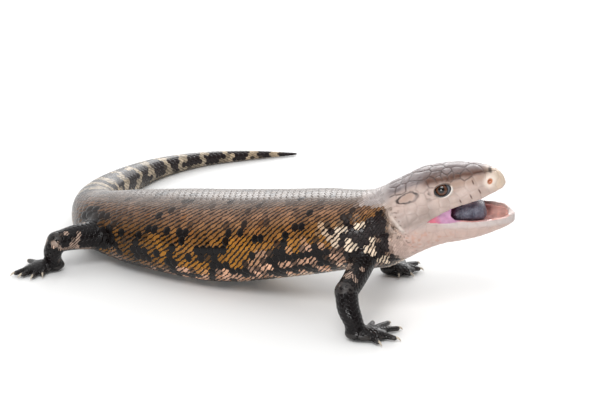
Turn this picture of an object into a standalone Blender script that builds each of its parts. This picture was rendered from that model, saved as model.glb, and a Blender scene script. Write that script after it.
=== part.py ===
"""A blue-tongued skink at life size, standing with its mouth open and its tail swept round.

The animal's own frame: +X runs along the trunk towards the head, +Y to its left, +Z up.
The floor is z = 0 and the origin lies under the middle of the whole animal.
Lengths in this file are millimetres; every mesh is scaled to metres as it is made.
"""

import math

import bpy
import bmesh
import numpy as np
from mathutils import Vector

MM = 0.001
GAP = 0.3  # clearance between two pieces that touch
SHIFT = np.array([-6.1, -73.0, 0.0])  # moves the origin under the middle of the animal

# Head and jaws.
HEAD_YAW = 21.0  # the head turns to the animal's left
LIP_PITCH = 22.0  # slope of the upper lip line, nose up
JAW_PITCH = 1.5  # slope of the lower jaw's rim
CORNER = np.array([121.5, 3.9, 62.4])  # midway between the two corners of the mouth
JAW_CUT_PITCH = 62.0  # the jaw parts from the throat along this slope, down and back
NECK_CUT = -23.5  # the head ends this far behind the mouth's corner
LIP_THICKNESS = 2.4
PALATE_HEIGHT = 5.0
FLOOR_DEPTH = 5.5
EYE_RADIUS = 5.5
EYE_FORWARD, EYE_SIDE, EYE_UP = 14.8, 11.3, 12.0
LID_RADIUS = 6.8
EYE_OPENING = (4.6, 3.5)  # half length and half height of the gap between the lids
EAR_FORWARD, EAR_UP = -16.0, 1.0
EAR_HALF = (1.5, 4.0, 4.2)  # half length, depth and half height of the ear's cup
NOSTRIL_FORWARD, NOSTRIL_UP, NOSTRIL_RADIUS = 40.5, 6.8, 1.1

# The trunk, neck and tail as one spine.
# Columns: x, y and height of the widest line; half width; rise above that line; drop below it.
SPINE = {
    "neck": (103, -3.2, 57.5, 20.5, 19.5, 24.0),
    "shoulder": (84, -3, 48.5, 25.0, 20.5, 23.5),
    "chest": (60, -1.5, 40.5, 29.5, 24.0, 24.0),
    "ribs": (30, -0.5, 31.0, 33.5, 27.0, 23.5),
    "belly": (-5, -2, 23.5, 35.5, 28.5, 24.0),
    "flank": (-40, -3, 20.0, 34.5, 26.8, 21.5),
    "loin": (-70, -2, 18.0, 31.0, 23.3, 19.2),
    "hips": (-92, 1, 16.5, 25.5, 20.4, 17.0),
    "vent": (-109.5, 10, 14.7, 19.0, 17.2, 15.0),
    "tail_root": (-124.5, 25.5, 12.9, 14.8, 14.6, 13.3),
    "tail_bend": (-136.6, 48, 11.0, 12.1, 12.2, 11.5),
    "tail_middle": (-144.5, 86, 9.0, 9.6, 9.6, 9.4),
    "tail_far": (-143.5, 128, 6.8, 7.3, 7.2, 7.1),
    "tail_turn": (-130.5, 163, 5.0, 5.3, 5.3, 5.2),
    "tail_end": (-107, 192.5, 3.3, 3.3, 3.4, 3.5),
    "tail_tip": (-82, 217, 1.2, 0.8, 0.8, 1.2),
}
# Lengths of the spine that are pieces of their own, and the spacing of their sections.
SPANS = {
    "chest": ("shoulder", 8.0, "ribs", 0.0, 9.0),
    "belly": ("ribs", 0.0, "flank", 12.0, 10.0),
    "hips": ("flank", 12.0, "vent", 6.0, 8.0),
    "tail_base": ("vent", 6.0, "tail_bend", 4.0, 6.5),
    "tail_bend": ("tail_bend", 4.0, "tail_middle", 22.0, 8.5),
    "tail_middle": ("tail_middle", 22.0, "tail_turn", 6.0, 10.0),
    "tail_end": ("tail_turn", 6.0, "tail_tip", 0.0, 9.0),
}

# Upper head: forward of the mouth's corner; half width; height of the crown above the lip line.
UPPER = [
    (-30, 18.5, 18.0), (-17, 21.2, 21.2), (-8, 21.5, 22.4), (0, 21.0, 23.4), (10, 20.0, 23.2),
    (20, 18.0, 21.6), (28, 15.8, 19.2), (34, 13.4, 16.8), (39, 10.6, 14.2), (43, 7.6, 11.4),
    (46, 4.4, 8.2), (47.3, 1.6, 5.0),
]
# Lower jaw and throat: forward of the corner; half width; depth below the rim.
LOWER = [
    (-32, 17.0, 34.0), (-22, 19.0, 34.0), (-10, 19.0, 28.0), (0, 18.5, 22.5), (10, 17.6, 18.5),
    (20, 16.2, 16.5), (30, 13.8, 14.0), (38, 11.0, 11.0), (44, 7.8, 8.4), (47.5, 4.8, 6.6),
    (49.3, 2.0, 5.0),
]
# Tongue: forward of the corner; half width; top above the jaw's rim; underside below it.
TONGUE = [
    (6, 6.5, -1.5, -4.8), (12, 9.2, 1.6, -4.8), (20, 9.6, 5.0, -4.8), (26, 8.8, 6.6, -4.8),
    (30, 7.0, 6.2, -4.6), (32.5, 4.6, 3.8, -4.2), (33.6, 1.4, 0.4, -2.6),
]

# Legs: a path from inside the trunk to the elbow or knee, and one from there to the wrist or ankle.
# Columns: x, y, z, radius.
LEGS = {
    "right_arm": ([(88, -8, 38, 9.0), (94, -22, 34.5, 7.8), (96.8, -36, 30, 6.9), (96.8, -46, 25.5, 6.6)],
                  [(96.8, -46, 25.5, 6.5), (99.8, -49, 17, 6.5), (103, -50, 11.5, 5.8),
                   (105, -49.6, 6.0, 5.2)]),
    "left_arm": ([(86, 4, 38, 9.0), (84, 20, 34, 7.8), (77, 34, 27.5, 6.9), (72, 42, 22, 6.6)],
                 [(72, 42, 22, 6.5), (73.5, 43.8, 14.5, 6.3), (76, 44.4, 9.8, 5.7), (79, 45, 5.8, 5.1)]),
    "right_leg": ([(-82, -10, 17.5, 10.5), (-87, -25, 18.5, 9.4), (-93, -39, 20, 7.9),
                   (-98.6, -50.4, 19.8, 6.4)],
                  [(-98.6, -50.4, 19.8, 6.2), (-101, -52.2, 13, 5.8), (-101.8, -50.8, 8.6, 5.0),
                   (-102.6, -49.6, 5.2, 4.8)]),
    "left_leg": ([(-84, 8, 17.5, 10.5), (-80, 24, 18.5, 9.4), (-71, 38, 20, 7.9), (-63.6, 48, 19, 6.4)],
                 [(-63.6, 48, 19, 6.2), (-63.4, 51.6, 13, 5.8), (-65, 54, 8.8, 5.1),
                  (-66.4, 56, 5.2, 4.8)]),
}
JOINT_SWELL = 0.5  # an elbow or knee is this much rounder than the limb above it
# Feet: names of the leg's pieces; the foot's path from the wrist or ankle to the balls of the digits
# (x, y, z, half width, half height); where the claws touch the floor (x, y), inner digit first.
FEET = {
    "right_arm": (("right_upper_arm", "right_forearm", "right_hand"),
                  [(103.6, -50.6, 3.8, 4.6, 3.5), (107, -48.6, 3.8, 6.2, 3.7), (111, -45.4, 3.2, 7.2, 3.3),
                   (114.4, -42.6, 2.5, 6.0, 2.4)],
                  [(104, -26), (113, -22), (122.5, -26.5), (128.5, -41), (122.5, -52.5)]),
    "left_arm": (("left_upper_arm", "left_forearm", "left_hand"),
                 [(77.6, 44.4, 3.8, 4.4, 3.5), (80.6, 46.2, 3.8, 6.0, 3.7), (84, 48.8, 3.2, 6.8, 3.3),
                  (87, 51.2, 2.5, 5.6, 2.4)],
                 [(88, 39.5), (95, 46), (95.5, 58.5), (89, 67), (79, 66)]),
    "right_leg": (("right_thigh", "right_shank", "right_foot"),
                  [(-101.4, -47.8, 3.5, 4.4, 3.2), (-105, -51.4, 3.7, 5.8, 3.6),
                   (-108.8, -55.4, 3.2, 7.0, 3.3),
                   (-111.6, -58.6, 2.5, 6.0, 2.4)],
                  [(-100.5, -64), (-105, -70), (-113.5, -71.5), (-119.5, -71), (-125.5, -47)]),
    "left_leg": (("left_thigh", "left_shank", "left_foot"),
                 [(-67, 53.6, 3.5, 4.4, 3.2), (-66, 58.6, 3.7, 5.8, 3.6), (-65, 63.4, 3.2, 7.0, 3.3),
                  (-64.2, 67.4, 2.5, 6.0, 2.4)],
                 [(-52, 60.5), (-46, 68.5), (-48.5, 80), (-59, 86.5), (-74, 76.5)]),
}
ANKLE_CUT = 4.4  # a foot begins this far above the end of its leg's path
DIGIT_RADIUS = 1.75
CLAW_LENGTH = 4.0

# Colours and finish: base colour, roughness.
SKINS = {
    "head_skin": ((0.52, 0.42, 0.33), 0.50),
    "body_skin": ((0.22, 0.14, 0.075), 0.45),
    "tail_skin": ((0.30, 0.24, 0.19), 0.45),
    "leg_skin": ((0.025, 0.021, 0.020), 0.35),
    "tongue_flesh": ((0.10, 0.11, 0.19), 0.30),
    "eye_ball": ((0.10, 0.035, 0.015), 0.08),
}


def clear_scene():
    for obj in list(bpy.data.objects):
        bpy.data.objects.remove(obj)


def new_collection(name):
    group = bpy.data.collections.new(name)
    bpy.context.scene.collection.children.link(group)
    return group


def material(name):
    colour, roughness = SKINS[name]
    mat = bpy.data.materials.get(name) or bpy.data.materials.new(name)
    mat.use_nodes = True
    shader = mat.node_tree.nodes["Principled BSDF"]
    shader.inputs["Base Color"].default_value = (*colour, 1.0)
    shader.inputs["Roughness"].default_value = roughness
    shader.inputs["Metallic"].default_value = 0.0
    mat.diffuse_color = (*colour, 1.0)
    return mat


def smooth(knots, values, at):
    """Values of a smooth curve through the stations, at any places between them."""
    knots = np.asarray(knots, float)
    values = np.asarray(values, float)
    step = np.diff(knots)
    slope = np.diff(values, axis=0) / step[:, None]
    tangent = np.empty_like(values)
    tangent[0] = slope[0]
    tangent[-1] = slope[-1]
    total = (step[1:] + step[:-1])[:, None]
    tangent[1:-1] = (slope[:-1] * step[1:, None] + slope[1:] * step[:-1, None]) / total
    at = np.clip(np.asarray(at, float), knots[0], knots[-1])
    i = np.clip(np.searchsorted(knots, at, side="right") - 1, 0, len(knots) - 2)
    h = step[i][:, None]
    t = (at - knots[i])[:, None] / h
    return ((2 * t**3 - 3 * t**2 + 1) * values[i] + (t**3 - 2 * t**2 + t) * h * tangent[i]
            + (3 * t**2 - 2 * t**3) * values[i + 1] + (t**3 - t**2) * h * tangent[i + 1])


def lengths_along(points):
    return np.concatenate([[0.0], np.cumsum(np.linalg.norm(np.diff(points, axis=0), axis=1))])


def mesh_object(name, points, faces, group, skin=None):
    mesh = bpy.data.meshes.new(name)
    mesh.from_pydata([tuple((p + SHIFT) * MM) for p in points], [], faces)
    obj = bpy.data.objects.new(name, mesh)
    group.objects.link(obj)
    bm = bmesh.new()
    bm.from_mesh(mesh)
    bmesh.ops.remove_doubles(bm, verts=bm.verts, dist=0.00002)
    bmesh.ops.dissolve_degenerate(bm, dist=0.00001, edges=bm.edges)
    bmesh.ops.recalc_face_normals(bm, faces=bm.faces)
    bm.to_mesh(mesh)
    bm.free()
    if skin:
        mesh.materials.append(material(skin))
        mesh.shade_smooth()
    else:
        obj.hide_render = True
        obj.display_type = "WIRE"
    return obj


def loft(name, rings, group, skin=None):
    """A closed solid through a row of rings, each end closed by one face."""
    rings = np.asarray(rings)
    rows, cols = rings.shape[:2]
    faces = []
    for i in range(rows - 1):
        for j in range(cols):
            k = (j + 1) % cols
            faces.append((i * cols + j, i * cols + k, (i + 1) * cols + k, (i + 1) * cols + j))
    faces.append(tuple(range(cols)))
    faces.append(tuple((rows - 1) * cols + j for j in range(cols)))
    return mesh_object(name, rings.reshape(-1, 3), faces, group, skin)


def oval(angle, power):
    """Across and up on a rounded section whose corners are squarer than an ellipse's."""
    c, s = np.cos(angle), np.sin(angle)
    return np.sign(c) * abs(c) ** (2 / power), np.sign(s) * abs(s) ** (2 / power)


def spine_rings(start, end, spacing, sides, grow=0.0):
    """Sections square to the spine from one distance along it to another."""
    rows = np.array(list(SPINE.values()), float)
    along = lengths_along(rows[:, :3])
    at = np.linspace(start, end, max(2, int(round((end - start) / spacing)) + 1))
    here = smooth(along, rows, at)
    ahead = smooth(along, rows, at + 0.5)[:, :3]
    behind = smooth(along, rows, at - 0.5)[:, :3]
    tangent = ahead - behind
    tangent /= np.linalg.norm(tangent, axis=1)[:, None]
    side = np.cross(tangent, [0.0, 0.0, 1.0])
    side /= np.linalg.norm(side, axis=1)[:, None]
    up = np.cross(side, tangent)
    across, high = oval(np.linspace(0, 2 * math.pi, sides, endpoint=False), 2.25)
    reach = np.where(high > 0, here[:, 4:5], here[:, 5:6]) + grow
    rings = (here[:, None, :3] + side[:, None] * ((here[:, 3:4] + grow) * across)[:, :, None]
             + up[:, None] * (reach * high)[:, :, None])
    rings[..., 2] = np.maximum(rings[..., 2], 0.0)
    return rings


def distance_to(station, beyond=0.0):
    rows = np.array(list(SPINE.values()), float)
    along = lengths_along(rows[:, :3])
    return along[list(SPINE).index(station)] + beyond


def head_frame(pitch):
    """Forward, left and up of the turned head, with its nose raised by this much."""
    yaw, tilt = math.radians(HEAD_YAW), math.radians(pitch)
    forward = np.array([math.cos(yaw) * math.cos(tilt), math.sin(yaw) * math.cos(tilt), math.sin(tilt)])
    left = np.array([-math.sin(yaw), math.cos(yaw), 0.0])
    return forward, left, np.cross(forward, left)


def jaw_rings(stations, pitch, start, end, spacing, side, narrow=0.0, deep=None, drop=0.0, grow=0.0):
    """Half sections above (side 1) or below (side -1) a flat lip line."""
    forward, left, up = head_frame(pitch)
    rows = np.array(stations, float)
    at = np.linspace(start, end, max(2, int(round((end - start) / spacing)) + 1))
    here = smooth(rows[:, 0], rows[:, 1:], at)
    half = np.maximum(here[:, 0:1] - narrow + grow, 0.4)
    tall = (here[:, 1:2] if deep is None else np.minimum(here[:, 1:2] * 0.7, deep)) + grow
    across, high = oval(np.linspace(0, math.pi, 13), 2.3)
    flat = np.linspace(-1.0, 1.0, 5)[1:-1]
    across = np.concatenate([across, flat])
    high = np.concatenate([abs(high), 0.0 * flat])
    base = CORNER - up * drop * (1 if side < 0 else 0)
    return (base + forward * at[:, None, None] + left * (half * across)[:, :, None]
            + up * side * (tall * high)[:, :, None])


def half_space(name, point, normal, group, reach=150.0):
    """A block whose one face lies on the plane and which fills the side that the normal points to."""
    normal = normal / np.linalg.norm(normal)
    side = np.cross(normal, [0.0, 0.0, 1.0])
    side /= np.linalg.norm(side)
    up = np.cross(normal, side)
    corners = [side * a * reach + up * b * reach for a, b in ((-1, -1), (1, -1), (1, 1), (-1, 1))]
    return loft(name, [[point + c for c in corners], [point + c + normal * reach for c in corners]], group)


def ellipsoid(name, centre, axes, radii, group, skin=None, segments=16, rings=10):
    bm = bmesh.new()
    bmesh.ops.create_uvsphere(bm, u_segments=segments, v_segments=rings, radius=1.0)
    points = np.array([v.co[:] for v in bm.verts])
    faces = [tuple(v.index for v in f.verts) for f in bm.faces]
    bm.free()
    moved = centre + sum(points[:, k:k + 1] * radii[k] * axes[k] for k in range(3))
    return mesh_object(name, moved, faces, group, skin)


def combine(target, other, operation):
    """Applies a Boolean of one object, or of every object of a collection.

    The manifold solver keeps these surfaces closed where the exact one opens them.
    """
    modifier = target.modifiers.new(operation.lower(), "BOOLEAN")
    modifier.operation = operation
    modifier.solver = "MANIFOLD"
    if isinstance(other, bpy.types.Collection):
        modifier.operand_type = "COLLECTION"
        modifier.collection = other
    else:
        modifier.object = other
    graph = bpy.context.evaluated_depsgraph_get()
    graph.update()
    mesh = bpy.data.meshes.new_from_object(target.evaluated_get(graph))
    target.modifiers.clear()
    target.data = mesh
    keep_largest(target)


def keep_largest(obj):
    """Keeps only the largest closed surface of an object and welds what a cut leaves doubled."""
    bm = bmesh.new()
    bm.from_mesh(obj.data)
    bmesh.ops.remove_doubles(bm, verts=bm.verts, dist=0.000002)
    bm.verts.ensure_lookup_table()
    seen = set()
    islands = []
    for vert in bm.verts:
        if vert.index in seen:
            continue
        seen.add(vert.index)
        island = [vert]
        for v in island:
            for edge in v.link_edges:
                far = edge.other_vert(v)
                if far.index not in seen:
                    seen.add(far.index)
                    island.append(far)
        islands.append(island)
    islands.sort(key=len)
    loose = [v for island in islands[:-1] for v in island]
    bmesh.ops.delete(bm, geom=loose, context="VERTS")
    bm.to_mesh(obj.data)
    bm.free()


def copy_of(obj, name, group):
    twin = bpy.data.objects.new(name, obj.data.copy())
    group.objects.link(twin)
    return twin


def build_spine(group, cutters):
    for name, (first, after, last, beyond, spacing) in SPANS.items():
        start = distance_to(first, after) + GAP / 2
        end = distance_to(last, beyond)
        if last != "tail_tip":
            end -= GAP / 2
        sides = 28 if name in ("chest", "belly", "hips") else 20
        skin = "tail_skin" if name.startswith("tail") else "body_skin"
        loft(name, spine_rings(start, end, spacing, sides), group, skin)


def build_head(group, cutters):
    """The neck, the skull and the throat as one body, then parted into shoulders, head and jaw."""
    forward, left, up = head_frame(LIP_PITCH)
    jaw_forward, _, jaw_up = head_frame(JAW_PITCH)
    neck_end = distance_to("shoulder", 8.0) - GAP / 2
    whole = loft("head", spine_rings(0.0, neck_end, 8.0, 28), group, "head_skin")
    skull = loft("skull", jaw_rings(UPPER, LIP_PITCH, -30, 47.3, 5.5, 1), cutters)
    throat = loft("throat", jaw_rings(LOWER, JAW_PITCH, -32, 49.3, 5.8, -1), cutters)
    jaw = loft("lower_jaw", jaw_rings(LOWER, JAW_PITCH, -20, 49.3, 5.3, -1, drop=0.15), group, "head_skin")

    cut_forward, _, cut_up = head_frame(JAW_CUT_PITCH)
    before = half_space("before_cut", CORNER, -cut_up, cutters)
    behind = half_space("behind_cut", CORNER - cut_up * GAP, cut_up, cutters)
    combine(throat, before, "DIFFERENCE")
    combine(whole, before, "DIFFERENCE")
    combine(jaw, behind, "DIFFERENCE")
    combine(whole, throat, "UNION")
    combine(whole, skull, "UNION")

    palate_rings = jaw_rings(UPPER, LIP_PITCH, 4, 43.5, 5, 1, LIP_THICKNESS, PALATE_HEIGHT)
    palate = loft("palate", palate_rings, cutters)
    floor_rings = jaw_rings(LOWER, JAW_PITCH, 4, 45.5, 5, -1, LIP_THICKNESS, FLOOR_DEPTH)
    floor = loft("floor", floor_rings, cutters)
    for cavity, axis in ((palate, -up), (floor, jaw_up)):
        for vert in cavity.data.vertices:
            height = (np.array(vert.co) / MM - SHIFT - CORNER) @ axis
            if height > -0.05:
                vert.co += Vector(axis * 1.5 * MM)
    combine(whole, palate, "DIFFERENCE")
    combine(jaw, floor, "DIFFERENCE")

    for side in (1, -1):
        lateral = left * side
        eye = CORNER + forward * EYE_FORWARD + lateral * EYE_SIDE + up * EYE_UP
        axes = (forward, up, lateral)
        lids = ellipsoid("lids", eye, axes, [LID_RADIUS] * 3, cutters, segments=14, rings=8)
        socket = ellipsoid("socket", eye, axes, [EYE_RADIUS + GAP] * 3, cutters, segments=16, rings=10)
        turn = np.linspace(0, 2 * math.pi, 16, endpoint=False)
        rim = [forward * EYE_OPENING[0] * math.cos(a) + up * EYE_OPENING[1] * math.sin(a) for a in turn]
        gap = loft("lid_gap", [[eye + r + lateral * d for r in rim] for d in (1.0, 14.0)], cutters)
        ear = ellipsoid("ear_cup", CORNER + forward * EAR_FORWARD + lateral * 20.3 + up * EAR_UP,
                        (forward, lateral, up), EAR_HALF, cutters, segments=10, rings=6)
        nostril = ellipsoid("nostril", CORNER + forward * NOSTRIL_FORWARD + lateral * 8.4 + up * NOSTRIL_UP,
                            (forward, lateral, up), (NOSTRIL_RADIUS, 2.2, NOSTRIL_RADIUS), cutters,
                            segments=8, rings=6)
        combine(whole, lids, "UNION")
        for cut in (gap, socket, ear, nostril):
            combine(whole, cut, "DIFFERENCE")
        ellipsoid("eye_left" if side == 1 else "eye_right", eye, axes, [EYE_RADIUS] * 3, group,
                  "eye_ball", 16, 10)

    rows = np.array(TONGUE, float)
    at = np.linspace(rows[0, 0], rows[-1, 0], 12)
    here = smooth(rows[:, 0], rows[:, 1:], at)
    across, high = oval(np.linspace(0, 2 * math.pi, 18, endpoint=False), 2.5)
    middle = (here[:, 1:2] + here[:, 2:3]) / 2
    tall = (here[:, 1:2] - here[:, 2:3]) / 2
    loft("tongue", CORNER + jaw_forward * at[:, None, None] + left * (here[:, 0:1] * across)[:, :, None]
         + jaw_up * (middle + tall * high)[:, :, None], group, "tongue_flesh")

    mid_forward, _, _ = head_frame(12.0)
    seam = CORNER + mid_forward * NECK_CUT
    shoulders = copy_of(whole, "shoulders", group)
    shoulders.data.materials[0] = material("body_skin")
    back = half_space("back_of_head", seam, -mid_forward, cutters)
    combine(whole, back, "DIFFERENCE")
    front = half_space("front_of_neck", seam - mid_forward * GAP, mid_forward, cutters)
    combine(shoulders, front, "DIFFERENCE")


def path_rings(points, sides, spacing, start=0.0, end=None, floor=0.0, grow=0.0):
    """Rings round a path whose columns are x, y, z, half width and, if it is flatter, half height."""
    rows = np.array(points, float)
    along = lengths_along(rows[:, :3])
    end = along[-1] if end is None else end
    at = np.linspace(start, end, max(3, int(round((end - start) / spacing)) + 1))
    here = smooth(along, rows, at)
    tangent = smooth(along, rows, at + 0.3)[:, :3] - smooth(along, rows, at - 0.3)[:, :3]
    tangent /= np.linalg.norm(tangent, axis=1)[:, None]
    side = np.cross(tangent, [0.0, 0.0, 1.0])
    side /= np.linalg.norm(side, axis=1)[:, None]
    up = np.cross(side, tangent)
    turn = np.linspace(0, 2 * math.pi, sides, endpoint=False)
    rings = (here[:, None, :3] + side[:, None] * ((here[:, 3:4] + grow) * np.cos(turn))[:, :, None]
             + up[:, None] * ((here[:, -1:] + grow) * np.sin(turn))[:, :, None])
    rings[..., 2] = np.maximum(rings[..., 2], floor)
    return rings


def digit_path(root, spot):
    """From inside the foot over the knuckle to the pad, then down the claw to its point."""
    tip = np.array([spot[0], spot[1], 0.25])
    ahead = tip - root
    ahead[2] = 0.0
    ahead /= np.linalg.norm(ahead)
    knuckle = root + (tip - root) * 0.45
    knuckle[2] = 3.1
    pad = tip - ahead * CLAW_LENGTH
    pad[2] = 1.9
    crook = tip - ahead * 1.2
    crook[2] = 1.9
    stations = [(root, DIGIT_RADIUS * 1.35), (knuckle, DIGIT_RADIUS), (pad, DIGIT_RADIUS * 0.78),
                (crook, 0.55), (tip, 0.14)]
    return [(*point, radius) for point, radius in stations]


def build_legs(group, cutters):
    end = distance_to("tail_root")
    trunk = loft("grown_trunk", spine_rings(0.0, end, 9.0, 28, GAP), cutters)
    throat = loft("grown_throat", jaw_rings(LOWER, JAW_PITCH, -32, 0, 5, -1, grow=GAP), cutters)
    axes = np.eye(3)
    for leg, (upper_path, lower_path) in LEGS.items():
        (upper_name, lower_name, foot_name), foot_path, claws = FEET[leg]
        joint = np.array(lower_path[0][:3])
        swell = upper_path[-1][3] + JOINT_SWELL
        upper = loft(upper_name, path_rings(upper_path, 14, 6.0), group, "leg_skin")
        knob = ellipsoid("joint", joint, axes, [swell] * 3, cutters, segments=14, rings=8)
        combine(upper, knob, "UNION")
        combine(upper, trunk, "DIFFERENCE")
        if leg.endswith("arm"):
            combine(upper, throat, "DIFFERENCE")

        path = lower_path
        last = lengths_along(np.array(path)[:, :3])[-1] - ANKLE_CUT
        lower = loft(lower_name, path_rings(path, 14, 4.5, 0.0, last - GAP / 2), group, "leg_skin")
        grown = loft("grown_limb", path_rings(upper_path, 14, 6.0, grow=GAP), cutters)
        grown_joint = ellipsoid("grown_joint", joint, axes, [swell + GAP] * 3, cutters,
                                segments=14, rings=8)
        combine(grown, grown_joint, "UNION")
        combine(lower, grown, "DIFFERENCE")

        foot = loft(foot_name, path_rings(path, 14, 2.2, last + GAP / 2, floor=0.03), group, "leg_skin")
        pieces = new_collection(foot_name + "_pieces")
        loft(foot_name + "_sole", path_rings(foot_path, 14, 3.5), pieces)
        root = np.array(foot_path[2][:3]) * 0.7 + np.array(foot_path[1][:3]) * 0.3
        root[2] = 2.9
        for number, spot in enumerate(claws):
            rings = path_rings(digit_path(root, spot), 6, 3.6, floor=0.06 + 0.04 * number)
            loft("%s_digit_%d" % (foot_name, number + 1), rings, pieces)
        combine(foot, pieces, "UNION")
        for piece in list(pieces.objects):
            bpy.data.objects.remove(piece)
        bpy.data.collections.remove(pieces)


def main():
    clear_scene()
    skink = new_collection("blue_tongued_skink")
    cutters = new_collection("cutters")
    build_spine(skink, cutters)
    build_head(skink, cutters)
    build_legs(skink, cutters)
    for cutter in list(cutters.objects):
        bpy.data.objects.remove(cutter)
    bpy.data.collections.remove(cutters)


main()
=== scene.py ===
"""Blue-tongued skink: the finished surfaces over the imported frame."""

import math

import bmesh
import bpy
import numpy as np
import openvdb
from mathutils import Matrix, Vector
from mathutils.bvhtree import BVHTree


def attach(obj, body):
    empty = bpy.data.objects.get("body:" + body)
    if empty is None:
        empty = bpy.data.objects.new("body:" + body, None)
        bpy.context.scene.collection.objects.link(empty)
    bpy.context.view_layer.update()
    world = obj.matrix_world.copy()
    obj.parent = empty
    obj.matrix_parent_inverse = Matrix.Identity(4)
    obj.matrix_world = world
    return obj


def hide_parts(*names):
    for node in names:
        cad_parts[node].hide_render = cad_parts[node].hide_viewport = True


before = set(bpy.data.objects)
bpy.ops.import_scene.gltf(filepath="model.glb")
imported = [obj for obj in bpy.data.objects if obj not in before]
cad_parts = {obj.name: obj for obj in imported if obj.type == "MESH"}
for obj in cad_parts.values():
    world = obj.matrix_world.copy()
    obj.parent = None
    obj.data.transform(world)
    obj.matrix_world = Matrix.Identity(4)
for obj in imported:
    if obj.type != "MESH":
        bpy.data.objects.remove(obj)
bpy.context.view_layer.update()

# ---- Sizes, in millimetres, shared with the solids -------------------------------------------

MM = 0.001
SHIFT = np.array([-6.1, -73.0, 0.0])
HEAD_YAW = 21.0
LIP_PITCH = 22.0
JAW_PITCH = 1.5
CORNER = np.array([121.5, 3.9, 62.4])
EYE_RADIUS = 5.5
EYE = np.array([14.8, 11.3, 12.0])  # the eye's middle: forward, to the side, above the lip line
LID_RADIUS = 6.8
LID_OPENING = (4.95, 3.4)  # half the length and half the height of the gap between the lids
LID_SHIFT = (0.5, 0.6)  # how far that gap lies ahead of and above the eye's middle
EAR_FORWARD, EAR_UP = -16.0, 1.0
NOSTRIL_FORWARD, NOSTRIL_UP = 40.5, 6.8
COAT = 0.55  # the skin lies this far inside the solids where scales cover it
FLOOR_GAP = 0.05  # no scale or claw goes lower than this

# ---- Sizes of the coat and its markings, in millimetres --------------------------------------

SCALE_LONG, SCALE_WIDE = 4.3, 3.1  # a flank scale's pitch and half width, which its streaks go by
SCALE_START, SCALE_SPAN = -0.62, 1.42  # in pitches: a scale's root behind its place, and its length
TRUNK_LIFT, LEG_LIFT, DIGIT_LIFT = 0.40, 0.17, 0.13  # how far the scales' free tips stand up
ROUND_TRUNK, ROUND_COLLAR, ROUND_NAPE = 20, 26, 32  # scales in one ring
LEG_ROUND, LEG_PITCH = 8, 2.7
DIGIT_ROUND, DIGIT_PITCH = 3, 1.7
STREAK_HALF = 1.27  # half the distance from one slanting streak to the next
BAR_PERIOD = 26.0  # along the trunk, from one slanting dark bar to the next
BAND_PERIOD = 18.5  # along the tail, from one dark band to the next
PIECE_LIMIT = 190000  # triangles in one piece of the coat
PATCH = 0.0015  # half the side of a scale's patch in the bake map
SKIN_BOX = (-160, -76, -2), (176, 222, 94)  # corners of the grid that the skin is cut from
VOXEL = 0.8  # the side of its cells
BLOCK = 4  # cells along the side of a block, which is left out where no surface is near
BATCH = 400000  # points sampled at a time
CHUNK = 20000  # points compared with a whole table at a time

# Columns: x, y and height of the widest line; half width; rise above that line; drop below it.
SPINE = {
    "neck": (103, -3.2, 57.5, 20.5, 19.5, 24.0),
    "shoulder": (84, -3, 48.5, 25.0, 20.5, 23.5),
    "chest": (60, -1.5, 40.5, 29.5, 24.0, 24.0),
    "ribs": (30, -0.5, 31.0, 33.5, 27.0, 23.5),
    "belly": (-5, -2, 23.5, 35.5, 28.5, 24.0),
    "flank": (-40, -3, 20.0, 34.5, 26.8, 21.5),
    "loin": (-70, -2, 18.0, 31.0, 23.3, 19.2),
    "hips": (-92, 1, 16.5, 25.5, 20.4, 17.0),
    "vent": (-109.5, 10, 14.7, 19.0, 17.2, 15.0),
    "tail_root": (-124.5, 25.5, 12.9, 14.8, 14.6, 13.3),
    "tail_bend": (-136.6, 48, 11.0, 12.1, 12.2, 11.5),
    "tail_middle": (-144.5, 86, 9.0, 9.6, 9.6, 9.4),
    "tail_far": (-143.5, 128, 6.8, 7.3, 7.2, 7.1),
    "tail_turn": (-130.5, 163, 5.0, 5.3, 5.3, 5.2),
    "tail_end": (-107, 192.5, 3.3, 3.3, 3.4, 3.5),
    "tail_tip": (-82, 217, 1.2, 0.8, 0.8, 1.2),
}
# Forward of the mouth's corner; half width; height of the crown above the lip line.
UPPER = [
    (-30, 18.5, 18.0), (-17, 21.2, 21.2), (-8, 21.5, 22.4), (0, 21.0, 23.4), (10, 20.0, 23.2),
    (20, 18.0, 21.6), (28, 15.8, 19.2), (34, 13.4, 16.8), (39, 10.6, 14.2), (43, 7.6, 11.4),
    (46, 4.4, 8.2), (47.3, 1.6, 5.0),
]
# Forward of the corner; half width; depth below the rim.
LOWER = [
    (-32, 17.0, 34.0), (-22, 19.0, 34.0), (-10, 19.0, 28.0), (0, 18.5, 22.5), (10, 17.6, 18.5),
    (20, 16.2, 16.5), (30, 13.8, 14.0), (38, 11.0, 11.0), (44, 7.8, 8.4), (47.5, 4.8, 6.6),
    (49.3, 2.0, 5.0),
]
# Forward of the corner; half width; top above the jaw's rim; underside below it.
TONGUE = [
    (6, 6.5, -1.5, -4.8), (12, 9.2, 1.6, -4.8), (20, 9.6, 5.0, -4.8), (26, 8.8, 6.6, -4.8),
    (30, 7.0, 6.2, -4.6), (32.5, 4.6, 3.8, -4.2), (33.6, 1.4, 0.4, -2.6),
]
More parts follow.
